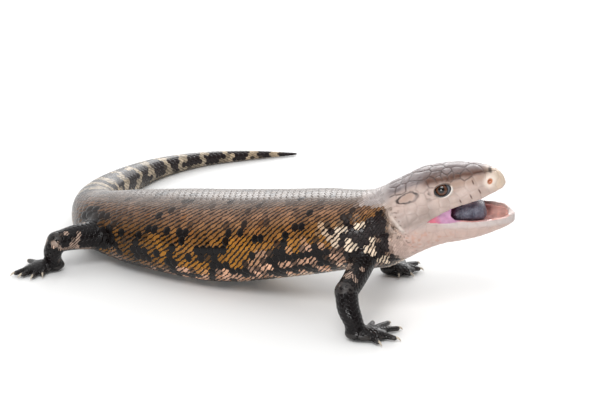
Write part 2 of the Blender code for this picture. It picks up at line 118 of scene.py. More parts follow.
# Columns: x, y, z, radius.
LEGS = {
    "right_arm": (
        [(88, -8, 38, 9.0), (94, -22, 34.5, 7.8), (96.8, -36, 30, 6.9), (96.8, -46, 25.5, 6.6)],
        [(96.8, -46, 25.5, 6.5), (99.8, -49, 17, 6.5), (103, -50, 11.5, 5.8),
         (105, -49.6, 6, 5.2)]),
    "left_arm": (
        [(86, 4, 38, 9.0), (84, 20, 34, 7.8), (77, 34, 27.5, 6.9), (72, 42, 22, 6.6)],
        [(72, 42, 22, 6.5), (73.5, 43.8, 14.5, 6.3), (76, 44.4, 9.8, 5.7), (79, 45, 5.8, 5.1)]),
    "right_leg": (
        [(-82, -10, 17.5, 10.5), (-87, -25, 18.5, 9.4), (-93, -39, 20, 7.9),
         (-98.6, -50.4, 19.8, 6.4)],
        [(-98.6, -50.4, 19.8, 6.2), (-101, -52.2, 13, 5.8), (-101.8, -50.8, 8.6, 5.0),
         (-102.6, -49.6, 5.2, 4.8)]),
    "left_leg": (
        [(-84, 8, 17.5, 10.5), (-80, 24, 18.5, 9.4), (-71, 38, 20, 7.9), (-63.6, 48, 19, 6.4)],
        [(-63.6, 48, 19, 6.2), (-63.4, 51.6, 13, 5.8), (-65, 54, 8.8, 5.1), (-66.4, 56, 5.2, 4.8)]),
}
# The foot's path (x, y, z, half width, half height), then where each claw touches the floor.
FEET = {
    "right_arm": (
        [(103.6, -50.6, 3.8, 4.6, 3.5), (107, -48.6, 3.8, 6.2, 3.7),
         (111, -45.4, 3.2, 7.2, 3.3), (114.4, -42.6, 2.5, 6.0, 2.4)],
        [(104, -26), (113, -22), (122.5, -26.5), (128.5, -41), (122.5, -52.5)]),
    "left_arm": (
        [(77.6, 44.4, 3.8, 4.4, 3.5), (80.6, 46.2, 3.8, 6.0, 3.7),
         (84, 48.8, 3.2, 6.8, 3.3), (87, 51.2, 2.5, 5.6, 2.4)],
        [(88, 39.5), (95, 46), (95.5, 58.5), (89, 67), (79, 66)]),
    "right_leg": (
        [(-101.4, -47.8, 3.5, 4.4, 3.2), (-105, -51.4, 3.7, 5.8, 3.6),
         (-108.8, -55.4, 3.2, 7.0, 3.3), (-111.6, -58.6, 2.5, 6.0, 2.4)],
        [(-100.5, -64), (-105, -70), (-113.5, -71.5), (-119.5, -71), (-125.5, -47)]),
    "left_leg": (
        [(-67, 53.6, 3.5, 4.4, 3.2), (-66, 58.6, 3.7, 5.8, 3.6),
         (-65, 63.4, 3.2, 7.0, 3.3), (-64.2, 67.4, 2.5, 6.0, 2.4)],
        [(-52, 60.5), (-46, 68.5), (-48.5, 80), (-59, 86.5), (-74, 76.5)]),
}
DIGIT_RADIUS = 1.75
CLAW_LENGTH = 4.0


# ---- Curves and sections ---------------------------------------------------------------------

def smooth(knots, values, at):
    """Values of a smooth curve through the stations, at any places between them."""
    knots = np.asarray(knots, float)
    values = np.asarray(values, float)
    step = np.diff(knots)
    slope = np.diff(values, axis=0) / step[:, None]
    tangent = np.empty_like(values)
    tangent[0] = slope[0]
    tangent[-1] = slope[-1]
    total = (step[1:] + step[:-1])[:, None]
    tangent[1:-1] = (slope[:-1] * step[1:, None] + slope[1:] * step[:-1, None]) / total
    at = np.clip(np.asarray(at, float), knots[0], knots[-1])
    i = np.clip(np.searchsorted(knots, at, side="right") - 1, 0, len(knots) - 2)
    h = step[i][:, None]
    t = (at - knots[i])[:, None] / h
    return ((2 * t**3 - 3 * t**2 + 1) * values[i] + (t**3 - 2 * t**2 + t) * h * tangent[i]
            + (3 * t**2 - 2 * t**3) * values[i + 1] + (t**3 - t**2) * h * tangent[i + 1])


def lengths_along(points):
    points = np.asarray(points, float)
    return np.concatenate([[0.0], np.cumsum(np.linalg.norm(np.diff(points, axis=0), axis=1))])


def unit(v):
    return v / np.maximum(np.linalg.norm(v, axis=-1, keepdims=True), 1e-9)


def ease(x, low, high):
    """A smooth rise from 0 to 1 between two values, or a fall where the greater comes first."""
    t = np.clip((x - low) / (high - low), 0.0, 1.0)
    return t * t * (3 - 2 * t)


def hill(x, middle, width):
    """A smooth rise to 1 at the middle, down to about a third one width away."""
    return np.exp(-(((x - middle) / width) ** 2))


def apart(q, centre):
    return np.linalg.norm(q - centre, axis=1)


def mirror(q):
    """Points of the head's frame, brought to its left side."""
    return np.stack([q[:, 0], abs(q[:, 1]), q[:, 2]], 1)


def smin(a, b, k):
    """The lesser of two values, with a smooth passage this wide where they meet."""
    h = np.clip(0.5 + 0.5 * (b - a) / k, 0.0, 1.0)
    return b + (a - b) * h - k * h * (1 - h)


def smax(a, b, k):
    return -smin(-a, -b, k)


def path_table(rows, step=1.0):
    """A path sampled every step: its columns, then forward, left and up."""
    rows = np.array(rows, float)
    along = lengths_along(rows[:, :3])
    at = np.arange(0.0, along[-1] + step, step)
    here = smooth(along, rows, at)
    forward = unit(smooth(along, rows, at + 0.5)[:, :3] - smooth(along, rows, at - 0.5)[:, :3])
    left = unit(np.cross(forward, [0.0, 0.0, 1.0]))
    return np.hstack([here, forward, left, np.cross(left, forward)])


SPINE_STEP = 1.0
SPINE_TABLE = path_table(list(SPINE.values()), SPINE_STEP)
SPINE_ALONG = lengths_along(np.array(list(SPINE.values()), float)[:, :3])
SPINE_LENGTH = SPINE_ALONG[-1]
STATION = {name: SPINE_ALONG[i] for i, name in enumerate(SPINE)}


def table_at(table, s, step=1.0):
    x = np.clip(s / step, 0, len(table) - 1.001)
    i = x.astype(int)
    f = (x - i)[:, None]
    return table[i] * (1 - f) + table[i + 1] * f


def section_radius(side, up, half, tall, power=2.25):
    """Distance from the middle of a rounded section to its edge, in the direction (side, up)."""
    q = np.maximum(np.hypot(side, up), 1e-6)
    return ((abs(side) / q / half) ** power + (abs(up) / q / tall) ** power) ** (-1 / power)


def trunk_radius(side, up, row):
    """The same for the trunk, from the spine's columns."""
    return section_radius(side, up, row[..., 3], np.where(up > 0, row[..., 4], row[..., 5]))


def spine_local(p):
    """Distance along the spine, left, up, overshoot and the spine's columns for each point."""
    best = np.empty(len(p), int)
    skip = 4
    coarse = SPINE_TABLE[::skip, :3]
    for i in range(0, len(p), CHUNK):
        q = p[i:i + CHUNK]
        best[i:i + CHUNK] = ((q[:, None] - coarse[None]) ** 2).sum(2).argmin(1) * skip
    near = np.full(len(p), 1e12)
    pick = best.copy()
    for k in range(-skip, skip + 1):
        c = np.clip(best + k, 0, len(SPINE_TABLE) - 1)
        d = ((p - SPINE_TABLE[c, :3]) ** 2).sum(1)
        closer = d < near
        near[closer] = d[closer]
        pick[closer] = c[closer]
    row = SPINE_TABLE[pick]
    s = pick * SPINE_STEP + ((p - row[:, :3]) * row[:, 6:9]).sum(1)
    over = np.maximum(np.maximum(-s, s - SPINE_LENGTH), 0.0)
    row = table_at(SPINE_TABLE, s, SPINE_STEP)
    q = p - row[:, :3]
    side, up = (q * row[:, 9:12]).sum(1), (q * row[:, 12:15]).sum(1)
    return np.clip(s, 0, SPINE_LENGTH), side, up, over, row


def trunk_field(p):
    """Distance to the skin of the trunk and tail, sunk by its coat and tucked in at the neck."""
    s, side, up, over, row = spine_local(p)
    d = np.hypot(side, up) - trunk_radius(side, up, row)
    coat = COAT * (0.35 + 0.65 * ease(row[:, 3], 0.8, 6.0))
    coat += 1.6 * ease(s, 26.0, 6.0) * ease(up, 0.0, 12.0) + 2.7 * ease(s, 13.0, 0.0)
    return np.where(over > 0, np.hypot(np.maximum(d, 0), over), d) + coat


def head_frame(pitch):
    """Forward, left and up of the turned head, with its nose raised by this much."""
    yaw, tilt = math.radians(HEAD_YAW), math.radians(pitch)
    flat = np.array([math.cos(yaw), math.sin(yaw), 0.0])
    forward = flat * math.cos(tilt) + [0.0, 0.0, math.sin(tilt)]
    left = np.array([-math.sin(yaw), math.cos(yaw), 0.0])
    return forward, left, np.cross(forward, left)


UP_FRAME = np.array(head_frame(LIP_PITCH))
LOW_FRAME = np.array(head_frame(JAW_PITCH))


def in_head(p, axes=UP_FRAME):
    """Points as forward, left and up of the upper head or, with its axes, of the lower jaw."""
    return (p - CORNER) @ axes.T


def out_of_head(q, axes=UP_FRAME):
    """The way back from in_head."""
    return CORNER + np.asarray(q, float) @ axes


def jaw_size(stations, t):
    rows = np.array(stations, float)
    fine = np.linspace(rows[0, 0], rows[-1, 0], 200)
    values = smooth(rows[:, 0], rows[:, 1:], fine)
    return np.interp(t, fine, values[:, 0]), np.interp(t, fine, values[:, 1])


def jaw_field(q, stations, side, lip, narrow=0.0, deep=None, start=None, end=None, cut=0.0):
    """Distance to one jaw from points given as forward, left and up of its frame."""
    t, left, up = q[:, 0], q[:, 1], q[:, 2] * side
    first = stations[0][0] if start is None else start
    last = stations[-1][0] if end is None else end
    half, tall = jaw_size(stations, np.clip(t, first, last))
    tall = tall - 0.8 * ease(-t, -8, 4) * (1 if side > 0 else 0)
    half = np.maximum(half - narrow, 0.4)
    if deep is not None:
        tall = np.minimum(tall * 0.7, deep)
    above = np.maximum(up, 0.0)
    d = np.hypot(left, above) - section_radius(left, above, half, tall, 2.3)
    over = np.maximum(first - t, t - last)
    d = np.where(over > 0, np.hypot(np.maximum(d + 1.2, 0), over + 1.2) - 1.2, np.maximum(d, over))
    return smax(d, cut - up, lip)


def upper_cut(q):
    """How far above the solids' rim the upper lip lies."""
    return 1.4 * hill(q[:, 0], 17, 10)


def lower_cut(q):
    """How far below the solids' rim the lower lip lies: the jaw hangs to the animal's right."""
    t, left = q[:, 0], q[:, 1]
    hang = 1.3 * ease(-left, 2, 8) - 2.2 * ease(left, 2, 8)
    return 1.5 * hill(t, 12, 10) + hang * ease(t, 18, 28) * ease(t, 48.5, 43)


def ball_field(q, centre, radii):
    r = (q - np.asarray(centre, float)) / np.asarray(radii, float)
    return (np.linalg.norm(r, axis=1) - 1.0) * min(radii)


def lid_gap(q, wider=0.0):
    """For mirrored points of the head: 0 amid the gap between the lids and 1 at its edge."""
    x, y = q[:, 0] - EYE[0] - LID_SHIFT[0], q[:, 2] - EYE[2] - LID_SHIFT[1]
    return np.hypot(x / (LID_OPENING[0] + wider), y / (LID_OPENING[1] + wider))


def head_field(p):
    """Distance to the head, with its lips, mouth, lids, nostrils and ears."""
    up, low = in_head(p), in_head(p, LOW_FRAME)
    skull = jaw_field(up, UPPER, 1, 1.6, cut=upper_cut(up))
    jaw = jaw_field(low, LOWER, -1, 1.5, cut=lower_cut(low))
    mirrored = mirror(up)
    cheek = mirrored[:, 1]

    # The jaw's muscle, the brow, the hollow before the eye, and the lids' ball.
    skull = smin(skull, ball_field(mirrored, (-7, 13.5, 4), (13, 8.8, 9)), 4.0)
    skull = smin(skull, ball_field(mirrored, EYE + [-1.0, -0.6, 4.8], (9.0, 4.6, 2.6)), 2.2)
    skull = smax(skull, -ball_field(mirrored, (29, 19.0, 10.0), (11, 5.2, 4.0)), 3.0)
    skull = smin(skull, ball_field(mirrored, EYE, (LID_RADIUS,) * 3), 1.6)

    d = smin(skull, jaw, 0.9)
    d = smin(d, ball_field(mirror(low), (-9, 12.5, -8), (12, 8.0, 10)), 4.0)

    # The hollow of the mouth.
    palate = jaw_field(up, UPPER, 1, 1.0, 2.5, 5.0, 1.0, 43.6)
    floor = jaw_field(low, LOWER, -1, 1.0, 2.6, 5.5, 1.0, 45.6)
    cavity = np.minimum(palate, floor)
    gape = np.maximum(np.maximum(up[:, 2], -low[:, 2]), -up[:, 0])
    half, _ = jaw_size(UPPER, up[:, 0])
    cavity = np.minimum(cavity, np.maximum(gape, cheek - (half - 2.6)))
    d = smax(d, -cavity, 0.9)

    # The membrane at its corner.
    web = np.maximum(np.abs(cheek - (half - 2.4 - 0.1 * up[:, 0])) - 0.75, up[:, 2] - 2.6)
    web = np.maximum(web, -low[:, 2] - 2.6)
    web = smax(web, up[:, 0] - (14.5 + 0.12 * (up[:, 2] + 3.0) ** 2), 1.0)
    web = np.maximum(web, -up[:, 0] - 3.0)
    d = smin(d, web, 0.9)

    # The gap between the lids, round the eyeball, with a raised rim.
    opening = (lid_gap(mirrored) - 1.0) * LID_OPENING[1]
    opening = np.maximum(opening, EYE[1] + 1.0 - cheek)
    d = smax(d, -opening, 0.55)
    from_eye = apart(mirrored, EYE)
    d = np.maximum(d, EYE_RADIUS + 0.12 - from_eye)
    rim = np.hypot((lid_gap(mirrored, 0.45) - 1.0) * 4.2, from_eye - 6.3) - 0.42
    d = smin(d, np.where(cheek > EYE[1] + 1.5, rim, 9.0), 0.5)

    # The nostril, then the ear with the fold and lobes before it.
    nostril = ball_field(mirrored, (NOSTRIL_FORWARD, 9.6, NOSTRIL_UP), (1.15, 2.6, 0.95))
    d = smax(d, -nostril, 0.5)
    lean = mirrored + np.stack([0.36 * (mirrored[:, 2] - EAR_UP), 0 * cheek, 0 * cheek], 1)
    fold = ball_field(lean, (EAR_FORWARD + 2.8, 19.6, EAR_UP + 3.6), (2.4, 2.5, 7.0))
    d = smin(d, fold, 2.4)
    ear = ball_field(lean, (EAR_FORWARD - 0.1, 21.4, EAR_UP + 1.0), (0.95, 4.2, 3.4))
    d = smax(d, -ear, 0.8)
    for up_ear in (-1.4, 0.9, 3.2):
        lobe = ball_field(lean, (EAR_FORWARD + 1.2, 20.4, EAR_UP + up_ear), (1.0, 1.5, 1.1))
        d = smin(d, lobe, 0.5)
    return d


def chain_field(p, rows):
    """Distance to a row of balls, each given as x, y, z, half width and half height."""
    d = np.full(len(p), 50.0)
    for x, y, z, wide, tall in rows:
        square = ((p[:, 0] - x) ** 2 + (p[:, 1] - y) ** 2) / wide**2 + (p[:, 2] - z) ** 2 / tall**2
        np.minimum(d, (np.sqrt(square) - 1.0) * min(wide, tall), out=d)
    return d


def sample_path(rows, step):
    rows = np.array(rows, float)
    if rows.shape[1] == 4:
        rows = np.hstack([rows, rows[:, 3:4]])
    along = lengths_along(rows[:, :3])
    return smooth(along, rows, np.linspace(0, along[-1], max(2, int(along[-1] / step) + 1)))


def digit_path(root, spot):
    """From inside the foot over the knuckle to the claw's root, then the claw down to its point."""
    tip = np.array([spot[0], spot[1], 0.25])
    ahead = tip - root
    ahead[2] = 0.0
    ahead = unit(ahead)
    knuckle = root + (tip - root) * 0.45
    knuckle[2] = 3.1
    pad = tip - ahead * (CLAW_LENGTH - 0.4)
    pad[2] = 1.95
    return [(*root, 2.3), (*knuckle, DIGIT_RADIUS), (*pad, DIGIT_RADIUS * 0.82)], ahead, tip


DIGITS = []  # of each claw: the digit's path, the way it points and the claw's tip
LIMB_ROWS = {}
LIMB_BOX = {}
for leg, (upper, lower) in LEGS.items():
    foot, claws = FEET[leg]
    swell = np.array([[*upper[-1][:3], upper[-1][3] + 0.4, upper[-1][3] + 0.4]])
    limb = np.vstack([sample_path(upper, 1.2), swell, sample_path(lower, 1.0)])
    limb[:, 3:] -= 0.35
    root = np.array(foot[2][:3]) * 0.7 + np.array(foot[1][:3]) * 0.3
    root[2] = 2.9
    paths = []
    for spot in claws:
        path, ahead, tip = digit_path(root, spot)
        paths.append(sample_path(path, 0.6))
        DIGITS.append((path, ahead, tip))
    LIMB_ROWS[leg] = (limb, sample_path(foot, 1.0), paths)
    every = np.vstack([limb, LIMB_ROWS[leg][1], *paths])[:, :3]
    LIMB_BOX[leg] = (every.min(0), every.max(0))


def near_limb(p, leg, margin):
    low, high = LIMB_BOX[leg]
    return ((p > low - margin) & (p < high + margin)).all(1)


def limb_field(p, leg):
    """Distance to the skin of a leg with its foot and digits."""
    limb, foot, digits = LIMB_ROWS[leg]
    d = smin(chain_field(p, limb), chain_field(p, foot), 2.0)
    low = p[:, 2] < 9
    if low.any():
        near = np.full(int(low.sum()), 50.0)
        for path in digits:
            near = smin(near, chain_field(p[low], path), 0.7)
        d[low] = smin(d[low], near, 1.2)
    return d


def field(p):
    """Signed distance to the animal's skin, in millimetres; negative inside."""
    d = trunk_field(p)
    ahead = in_head(p)[:, 0]
    head = (ahead > -40) & (p[:, 0] > 80)
    if head.any():
        d[head] = smin(d[head], head_field(p[head]), 1.0 + 4.0 * ease(-ahead[head], 8, 20))
    for leg in LIMB_ROWS:
        box = near_limb(p, leg, 16)
        if box.any():
            d[box] = smin(d[box], limb_field(p[box], leg), 5.0)
    return smax(d, 0.3 - p[:, 2], 0.8)


# ---- Meshes ----------------------------------------------------------------------------------

def to_row(points):
    return (np.asarray(points) + SHIFT) * MM


def mesh_object(name, points, faces, slot, material, **attributes):
    """A smooth mesh of triangles from points in millimetres, with numbers or colours for them."""
    mesh = bpy.data.meshes.new(name)
    points = to_row(points)
    faces = np.asarray(faces)
    mesh.vertices.add(len(points))
    mesh.vertices.foreach_set("co", points.astype(np.float32).ravel())
    mesh.loops.add(faces.size)
    mesh.loops.foreach_set("vertex_index", faces.astype(np.int32).ravel())
    mesh.polygons.add(len(faces))
    mesh.polygons.foreach_set("loop_start", 3 * np.arange(len(faces), dtype=np.int32))
    mesh.update(calc_edges=True)
    mesh.validate()
    obj = bpy.data.objects.new(name, mesh)
    bpy.context.scene.collection.objects.link(obj)
    mesh.materials.append(material)
    mesh.shade_smooth()
    for key, values in attributes.items():
        values = np.asarray(values, np.float32)
        if values.ndim == 1:
            mesh.attributes.new(key, "FLOAT", "POINT").data.foreach_set("value", values)
        else:
            rgba = np.column_stack([values, np.ones(len(values), np.float32)])
            mesh.attributes.new(key, "FLOAT_COLOR", "POINT").data.foreach_set("color", rgba.ravel())
    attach(obj, "root")
    return obj


def surface():
    """The skin as quads: the field sampled in the blocks of cells that its surface crosses."""
    low, high = np.array(SKIN_BOX, float)
    blocks = np.ceil((high - low) / (BLOCK * VOXEL)).astype(int)
    grid = np.indices(blocks).reshape(3, -1).T
    value = field(low + (grid * BLOCK + (BLOCK - 1) / 2) * VOXEL)
    near = np.abs(value) < VOXEL * 3.5 + 1.7
    far = 3.0
    cells = np.where(value < 0, -far, far).astype(np.float32).reshape(blocks)
    cells = cells.repeat(BLOCK, 0).repeat(BLOCK, 1).repeat(BLOCK, 2)
    offsets = np.indices((BLOCK, BLOCK, BLOCK)).reshape(3, -1).T
    fine = (grid[near][:, None] * BLOCK + offsets).reshape(-1, 3)
    for i in range(0, len(fine), BATCH):
        part = fine[i:i + BATCH]
        cells[tuple(part.T)] = np.clip(field(low + part * VOXEL), -far, far)
    vdb = openvdb.FloatGrid(far)
    vdb.copyFromArray(cells)
    points, quads = vdb.convertToQuads(isovalue=0.0)
    return low + points * VOXEL, quads


def gradient(p):
    """The field's value and slope at points, from the four corners of a small tetrahedron."""
    h = 0.15
    corners = np.array([(1, 1, 1), (1, -1, -1), (-1, 1, -1), (-1, -1, 1)]) * h
    values = np.stack([field(p + corner) for corner in corners], 1)
    return values.mean(1), values @ corners / (4 * h * h)


def settle(p, rounds):
    """Moves points onto the skin's surface."""
    longest = 0.6
    for _ in range(rounds):
        value, g = gradient(p)
        step = value / np.maximum((g * g).sum(1), 0.2)
        p = p - np.clip(step, -longest, longest)[:, None] * g
    return p


# ---- Materials -------------------------------------------------------------------------------

class Shader:
    """The nodes of a material or world, with short calls for those used here."""

    def __init__(self, owner, end="Principled BSDF"):
        owner.use_nodes = True
        self.owner, self.tree = owner, owner.node_tree
        self.end = self.tree.nodes[end]

    def node(self, kind, inputs=None, **options):
        made = self.tree.nodes.new("ShaderNode" + kind)
        for key, value in options.items():
            setattr(made, key, value)
        for key, value in (inputs or {}).items():
            if isinstance(value, bpy.types.NodeSocket):
                self.tree.links.new(value, made.inputs[key])
            else:
                made.inputs[key].default_value = value
        return made

    def math(self, operation, a, b):
        return self.node("Math", {0: a, 1: b}, operation=operation).outputs[0]

    def mix(self, factor, a, b):
        return self.node("Mix", {0: factor, 6: a, 7: b}, data_type="RGBA").outputs[2]

    def span(self, value, low, high, to_low=0.0, to_high=1.0):
        return self.node("MapRange", {0: value, 1: low, 2: high, 3: to_low, 4: to_high}).outputs[0]

    def noise(self, scale, detail=3.0):
        inputs = {"Scale": scale, "Detail": detail, "Roughness": 0.55, "Vector": self.place()}
        return self.node("TexNoise", inputs).outputs["Fac"]

    def voronoi(self, scale, feature="F1"):
        inputs = {"Scale": scale, "Vector": self.place()}
        return self.node("TexVoronoi", inputs, feature=feature).outputs["Distance"]

    def sway(self, scale, detail, reach):
        """Noise about zero, this far from one end to the other."""
        return self.math("MULTIPLY", self.math("SUBTRACT", self.noise(scale, detail), 0.5), reach)

    def place(self):
        return self.node("TexCoord").outputs["Object"]

    def attribute(self, name, output="Color"):
        return self.node("Attribute", attribute_name=name).outputs[output]

    def bump(self, height, depth, strength=1.0, normal=None):
        inputs = {"Height": height, "Strength": strength, "Distance": depth}
        if normal is not None:
            inputs["Normal"] = normal
        return self.node("Bump", inputs).outputs[0]

    def set(self, **values):
        for key, value in values.items():
            socket = self.end.inputs[key.replace("_", " ")]
            if isinstance(value, bpy.types.NodeSocket):
                self.tree.links.new(value, socket)
            else:
                socket.default_value = value
        return self.owner


def skin_material():
    """Bare skin: the head's seams darkened and dipped, the mouth's lining wet."""
    s = Shader(bpy.data.materials.new("Skin"))
    colour = s.attribute("Tint")
    seam, dark = s.attribute("Seam", "Fac"), s.attribute("Dark", "Fac")
    lining = s.attribute("Lining", "Fac")
    fine = s.voronoi(900.0, "DISTANCE_TO_EDGE")
    patchy = s.noise(260.0, 4.0)
    colour = s.mix(s.span(patchy, 0.3, 0.7, 0.0, 0.16), colour, (0.09, 0.06, 0.045, 1))
    edge = s.math("ADD", seam, s.sway(700.0, 2.0, 0.5))
    line = s.math("MULTIPLY", s.span(edge, 0.15, 0.70, 0.9, 0.0), s.span(dark, 0.0, 1.0))
    colour = s.mix(line, colour, (0.045, 0.026, 0.022, 1))
    grain = s.bump(s.span(fine, 0.0, 0.25), 0.00008, 0.25)
    grain = s.bump(s.noise(1300.0, 3.0), 0.0001, 0.2, grain)
    wet = s.math("MULTIPLY", lining, 0.24)
    rough = s.math("SUBTRACT", s.span(patchy, 0.3, 0.7, 0.34, 0.46), wet)
    return s.set(Base_Color=colour, Roughness=rough, Normal=grain, Specular_IOR_Level=0.5,
                 Subsurface_Weight=0.08, Subsurface_Radius=(0.003, 0.0012, 0.0008))


def eye_material():
    """A black pupil in a red-brown iris, grey-blue beyond it, under a clear wet coat."""
    s = Shader(bpy.data.materials.new("Eye"))
    ring = s.attribute("Ring", "Fac")
    spoke = s.noise(1400.0, 5.0)
    iris = s.mix(spoke, (0.035, 0.012, 0.006, 1), (0.14, 0.052, 0.024, 1))
    colour = s.mix(s.span(ring, 1.75, 1.9), (0.001, 0.001, 0.001, 1), iris)
    colour = s.mix(s.span(ring, 2.9, 3.15), colour, (0.012, 0.006, 0.004, 1))
    beyond = s.mix(spoke, (0.10, 0.11, 0.13, 1), (0.19, 0.20, 0.22, 1))
    colour = s.mix(s.span(ring, 3.5, 3.8), colour, beyond)
    return s.set(Base_Color=colour, Roughness=s.span(spoke, 0.3, 0.7, 0.20, 0.30), Coat_Weight=1.0,
                 Coat_Roughness=0.02, Specular_IOR_Level=0.1)


def tongue_material():
    """Slate-blue and wet, with fine papillae, and a purple root."""
    s = Shader(bpy.data.materials.new("Tongue"))
    patchy = s.noise(320.0, 4.0)
    colour = s.mix(s.span(patchy, 0.3, 0.7), (0.075, 0.078, 0.115, 1), (0.21, 0.215, 0.275, 1))
    colour = s.mix(s.span(s.attribute("Root", "Fac"), 0.0, 1.0), colour, (0.16, 0.05, 0.11, 1))
    pimples = s.voronoi(1300.0)
    normal = s.bump(s.span(pimples, 0.0, 0.6, 1.0, 0.0), 0.00035, 0.7)
    normal = s.bump(s.noise(420.0, 3.0), 0.0011, 0.7, normal)
    return s.set(Base_Color=colour, Roughness=s.span(patchy, 0.3, 0.7, 0.16, 0.32), Normal=normal,
                 Subsurface_Weight=0.1, Subsurface_Radius=(0.002, 0.001, 0.001))


def claw_material():
    s = Shader(bpy.data.materials.new("Claw"))
    streak = s.noise(600.0, 3.0)
    colour = s.mix(streak, (0.30, 0.24, 0.18, 1), (0.62, 0.55, 0.44, 1))
    return s.set(Base_Color=colour, Roughness=s.span(streak, 0.3, 0.7, 0.25, 0.4),
                 Normal=s.bump(streak, 0.0001, 0.4))


def floor_material():
    s = Shader(bpy.data.materials.new("Floor"))
    colour = s.mix(s.noise(3.0), (0.80, 0.80, 0.795, 1), (0.84, 0.84, 0.835, 1))
    return s.set(Base_Color=colour, Roughness=0.8)


# ---- Places on the trunk: distance along the spine and share of the way round -----------------

TABLE_STEP = 1.0
TABLE_START = -24.0  # ahead of the neck's station, over the back of the head
ROUND = 240  # steps round the trunk


def spine_rows(s):
    """The spine's columns at any distance; ahead of the neck they run straight on."""
    row = table_at(SPINE_TABLE, np.maximum(s, 0.0), SPINE_STEP)
    row[:, :3] += row[:, 6:9] * np.minimum(s, 0.0)[:, None]
    return row


def ring_angles(row):
    """For each row of the spine: angles that part its girth evenly, from the back rightwards."""
    fine = np.linspace(0, 2 * math.pi, 361)
    side, up = np.sin(fine), np.cos(fine)
    angles = np.empty((len(row), ROUND + 1))
    for i, r in enumerate(row):
        radius = trunk_radius(side, up, r)
        x, y = radius * side, radius * up
        length = np.concatenate([[0], np.cumsum(np.hypot(np.diff(x), np.diff(y)))])
        angles[i] = np.interp(np.linspace(0, length[-1], ROUND + 1), length, fine)
    return angles


TABLE_S = np.arange(TABLE_START, SPINE_LENGTH + 0.5, TABLE_STEP)
TABLE_ROWS = spine_rows(TABLE_S)
TABLE_ANGLES = ring_angles(TABLE_ROWS)


def trunk_place(p):
    """Distance along the spine, and share of the way round from the mid-back over the right."""
    s, side, up, _, _ = spine_local(p)
    ahead = (p - SPINE_TABLE[0, :3]) @ SPINE_TABLE[0, 6:9]
    s = np.where(s <= 0.0, np.minimum(ahead, 0.0), s)
    angle = np.arctan2(-side, up) % (2 * math.pi)
    row = np.clip(((s - TABLE_START) / TABLE_STEP).round().astype(int), 0, len(TABLE_S) - 1)
    share, shares = np.empty(len(p)), np.linspace(0, 1, ROUND + 1)
    order = np.argsort(row, kind="stable")
    edges = np.flatnonzero(np.diff(row[order])) + 1
    for group in np.split(order, edges):
        share[group] = np.interp(angle[group], TABLE_ANGLES[row[group[0]]], shares)
    return s, share


# ---- Markings --------------------------------------------------------------------------------

def srgb(*values):
    c = np.array(values, float) / 255.0
    return np.where(c <= 0.04045, c / 12.92, ((c + 0.055) / 1.055) ** 2.4)


def cell_hash(*cells, seed=0):
    """A number from 0 to 1 for each set of whole numbers, the same in every run."""
    n = np.full(np.shape(cells[0]), seed * 7919 + 17, np.int64)
    for k, c in enumerate(cells):
        n = (n ^ (np.asarray(c, np.int64) * (374761393, 668265263, 2147483647)[k])) * 1274126177
        n = n ^ (n >> 15)
    return (n & 0xFFFFFF) / float(0x1000000)


def noise3(p, size, seed=0):
    """Smooth noise from 0 to 1 that varies over this many millimetres."""
    q = np.asarray(p, float) / size
    i = np.floor(q).astype(np.int64)
    f = q - i
    f = f * f * (3 - 2 * f)
    total = np.zeros(len(q))
    for dx in (0, 1):
        for dy in (0, 1):
            for dz in (0, 1):
                weight = abs(1 - dx - f[:, 0]) * abs(1 - dy - f[:, 1]) * abs(1 - dz - f[:, 2])
                total += weight * cell_hash(i[:, 0] + dx, i[:, 1] + dy, i[:, 2] + dz, seed=seed)
    return total


def blend(a, b, t):
    t = np.clip(t, 0, 1)[:, None]
    return a * (1 - t) + b * t


GOLD = srgb(162, 108, 34)
OCHRE = srgb(135, 91, 44)
SIDE_BROWN = srgb(132, 97, 72)
BACK_BROWN = srgb(112, 99, 90)
PEACH = srgb(218, 170, 141)
CREAM = srgb(226, 204, 180)
BLACK = srgb(12, 8, 8)
CHARCOAL = srgb(36, 27, 27)
HEAD_TAN = srgb(188, 166, 152)
THROAT = srgb(190, 165, 154)
TAIL_DARK = srgb(40, 31, 31)
TAIL_PALE = srgb(176, 160, 138)


def spots(q, size, seed):
    """Distance, as a share of the size, to the nearest of scattered centres on the surface."""
    cell = np.floor(q[:, :2] / size).astype(np.int64)
    nearest = np.full(len(q), 9.0)
    for dx in (-1, 0, 1):
        for dy in (-1, 0, 1):
            i, j = cell[:, 0] + dx, cell[:, 1] + dy
            x = (i + 0.15 + 0.7 * cell_hash(i, j, seed=seed)) * size
            y = (j + 0.15 + 0.7 * cell_hash(j, i, seed=seed + 1)) * size
            np.minimum(nearest, np.hypot(q[:, 0] - x, q[:, 1] - y) / size, out=nearest)
    return nearest


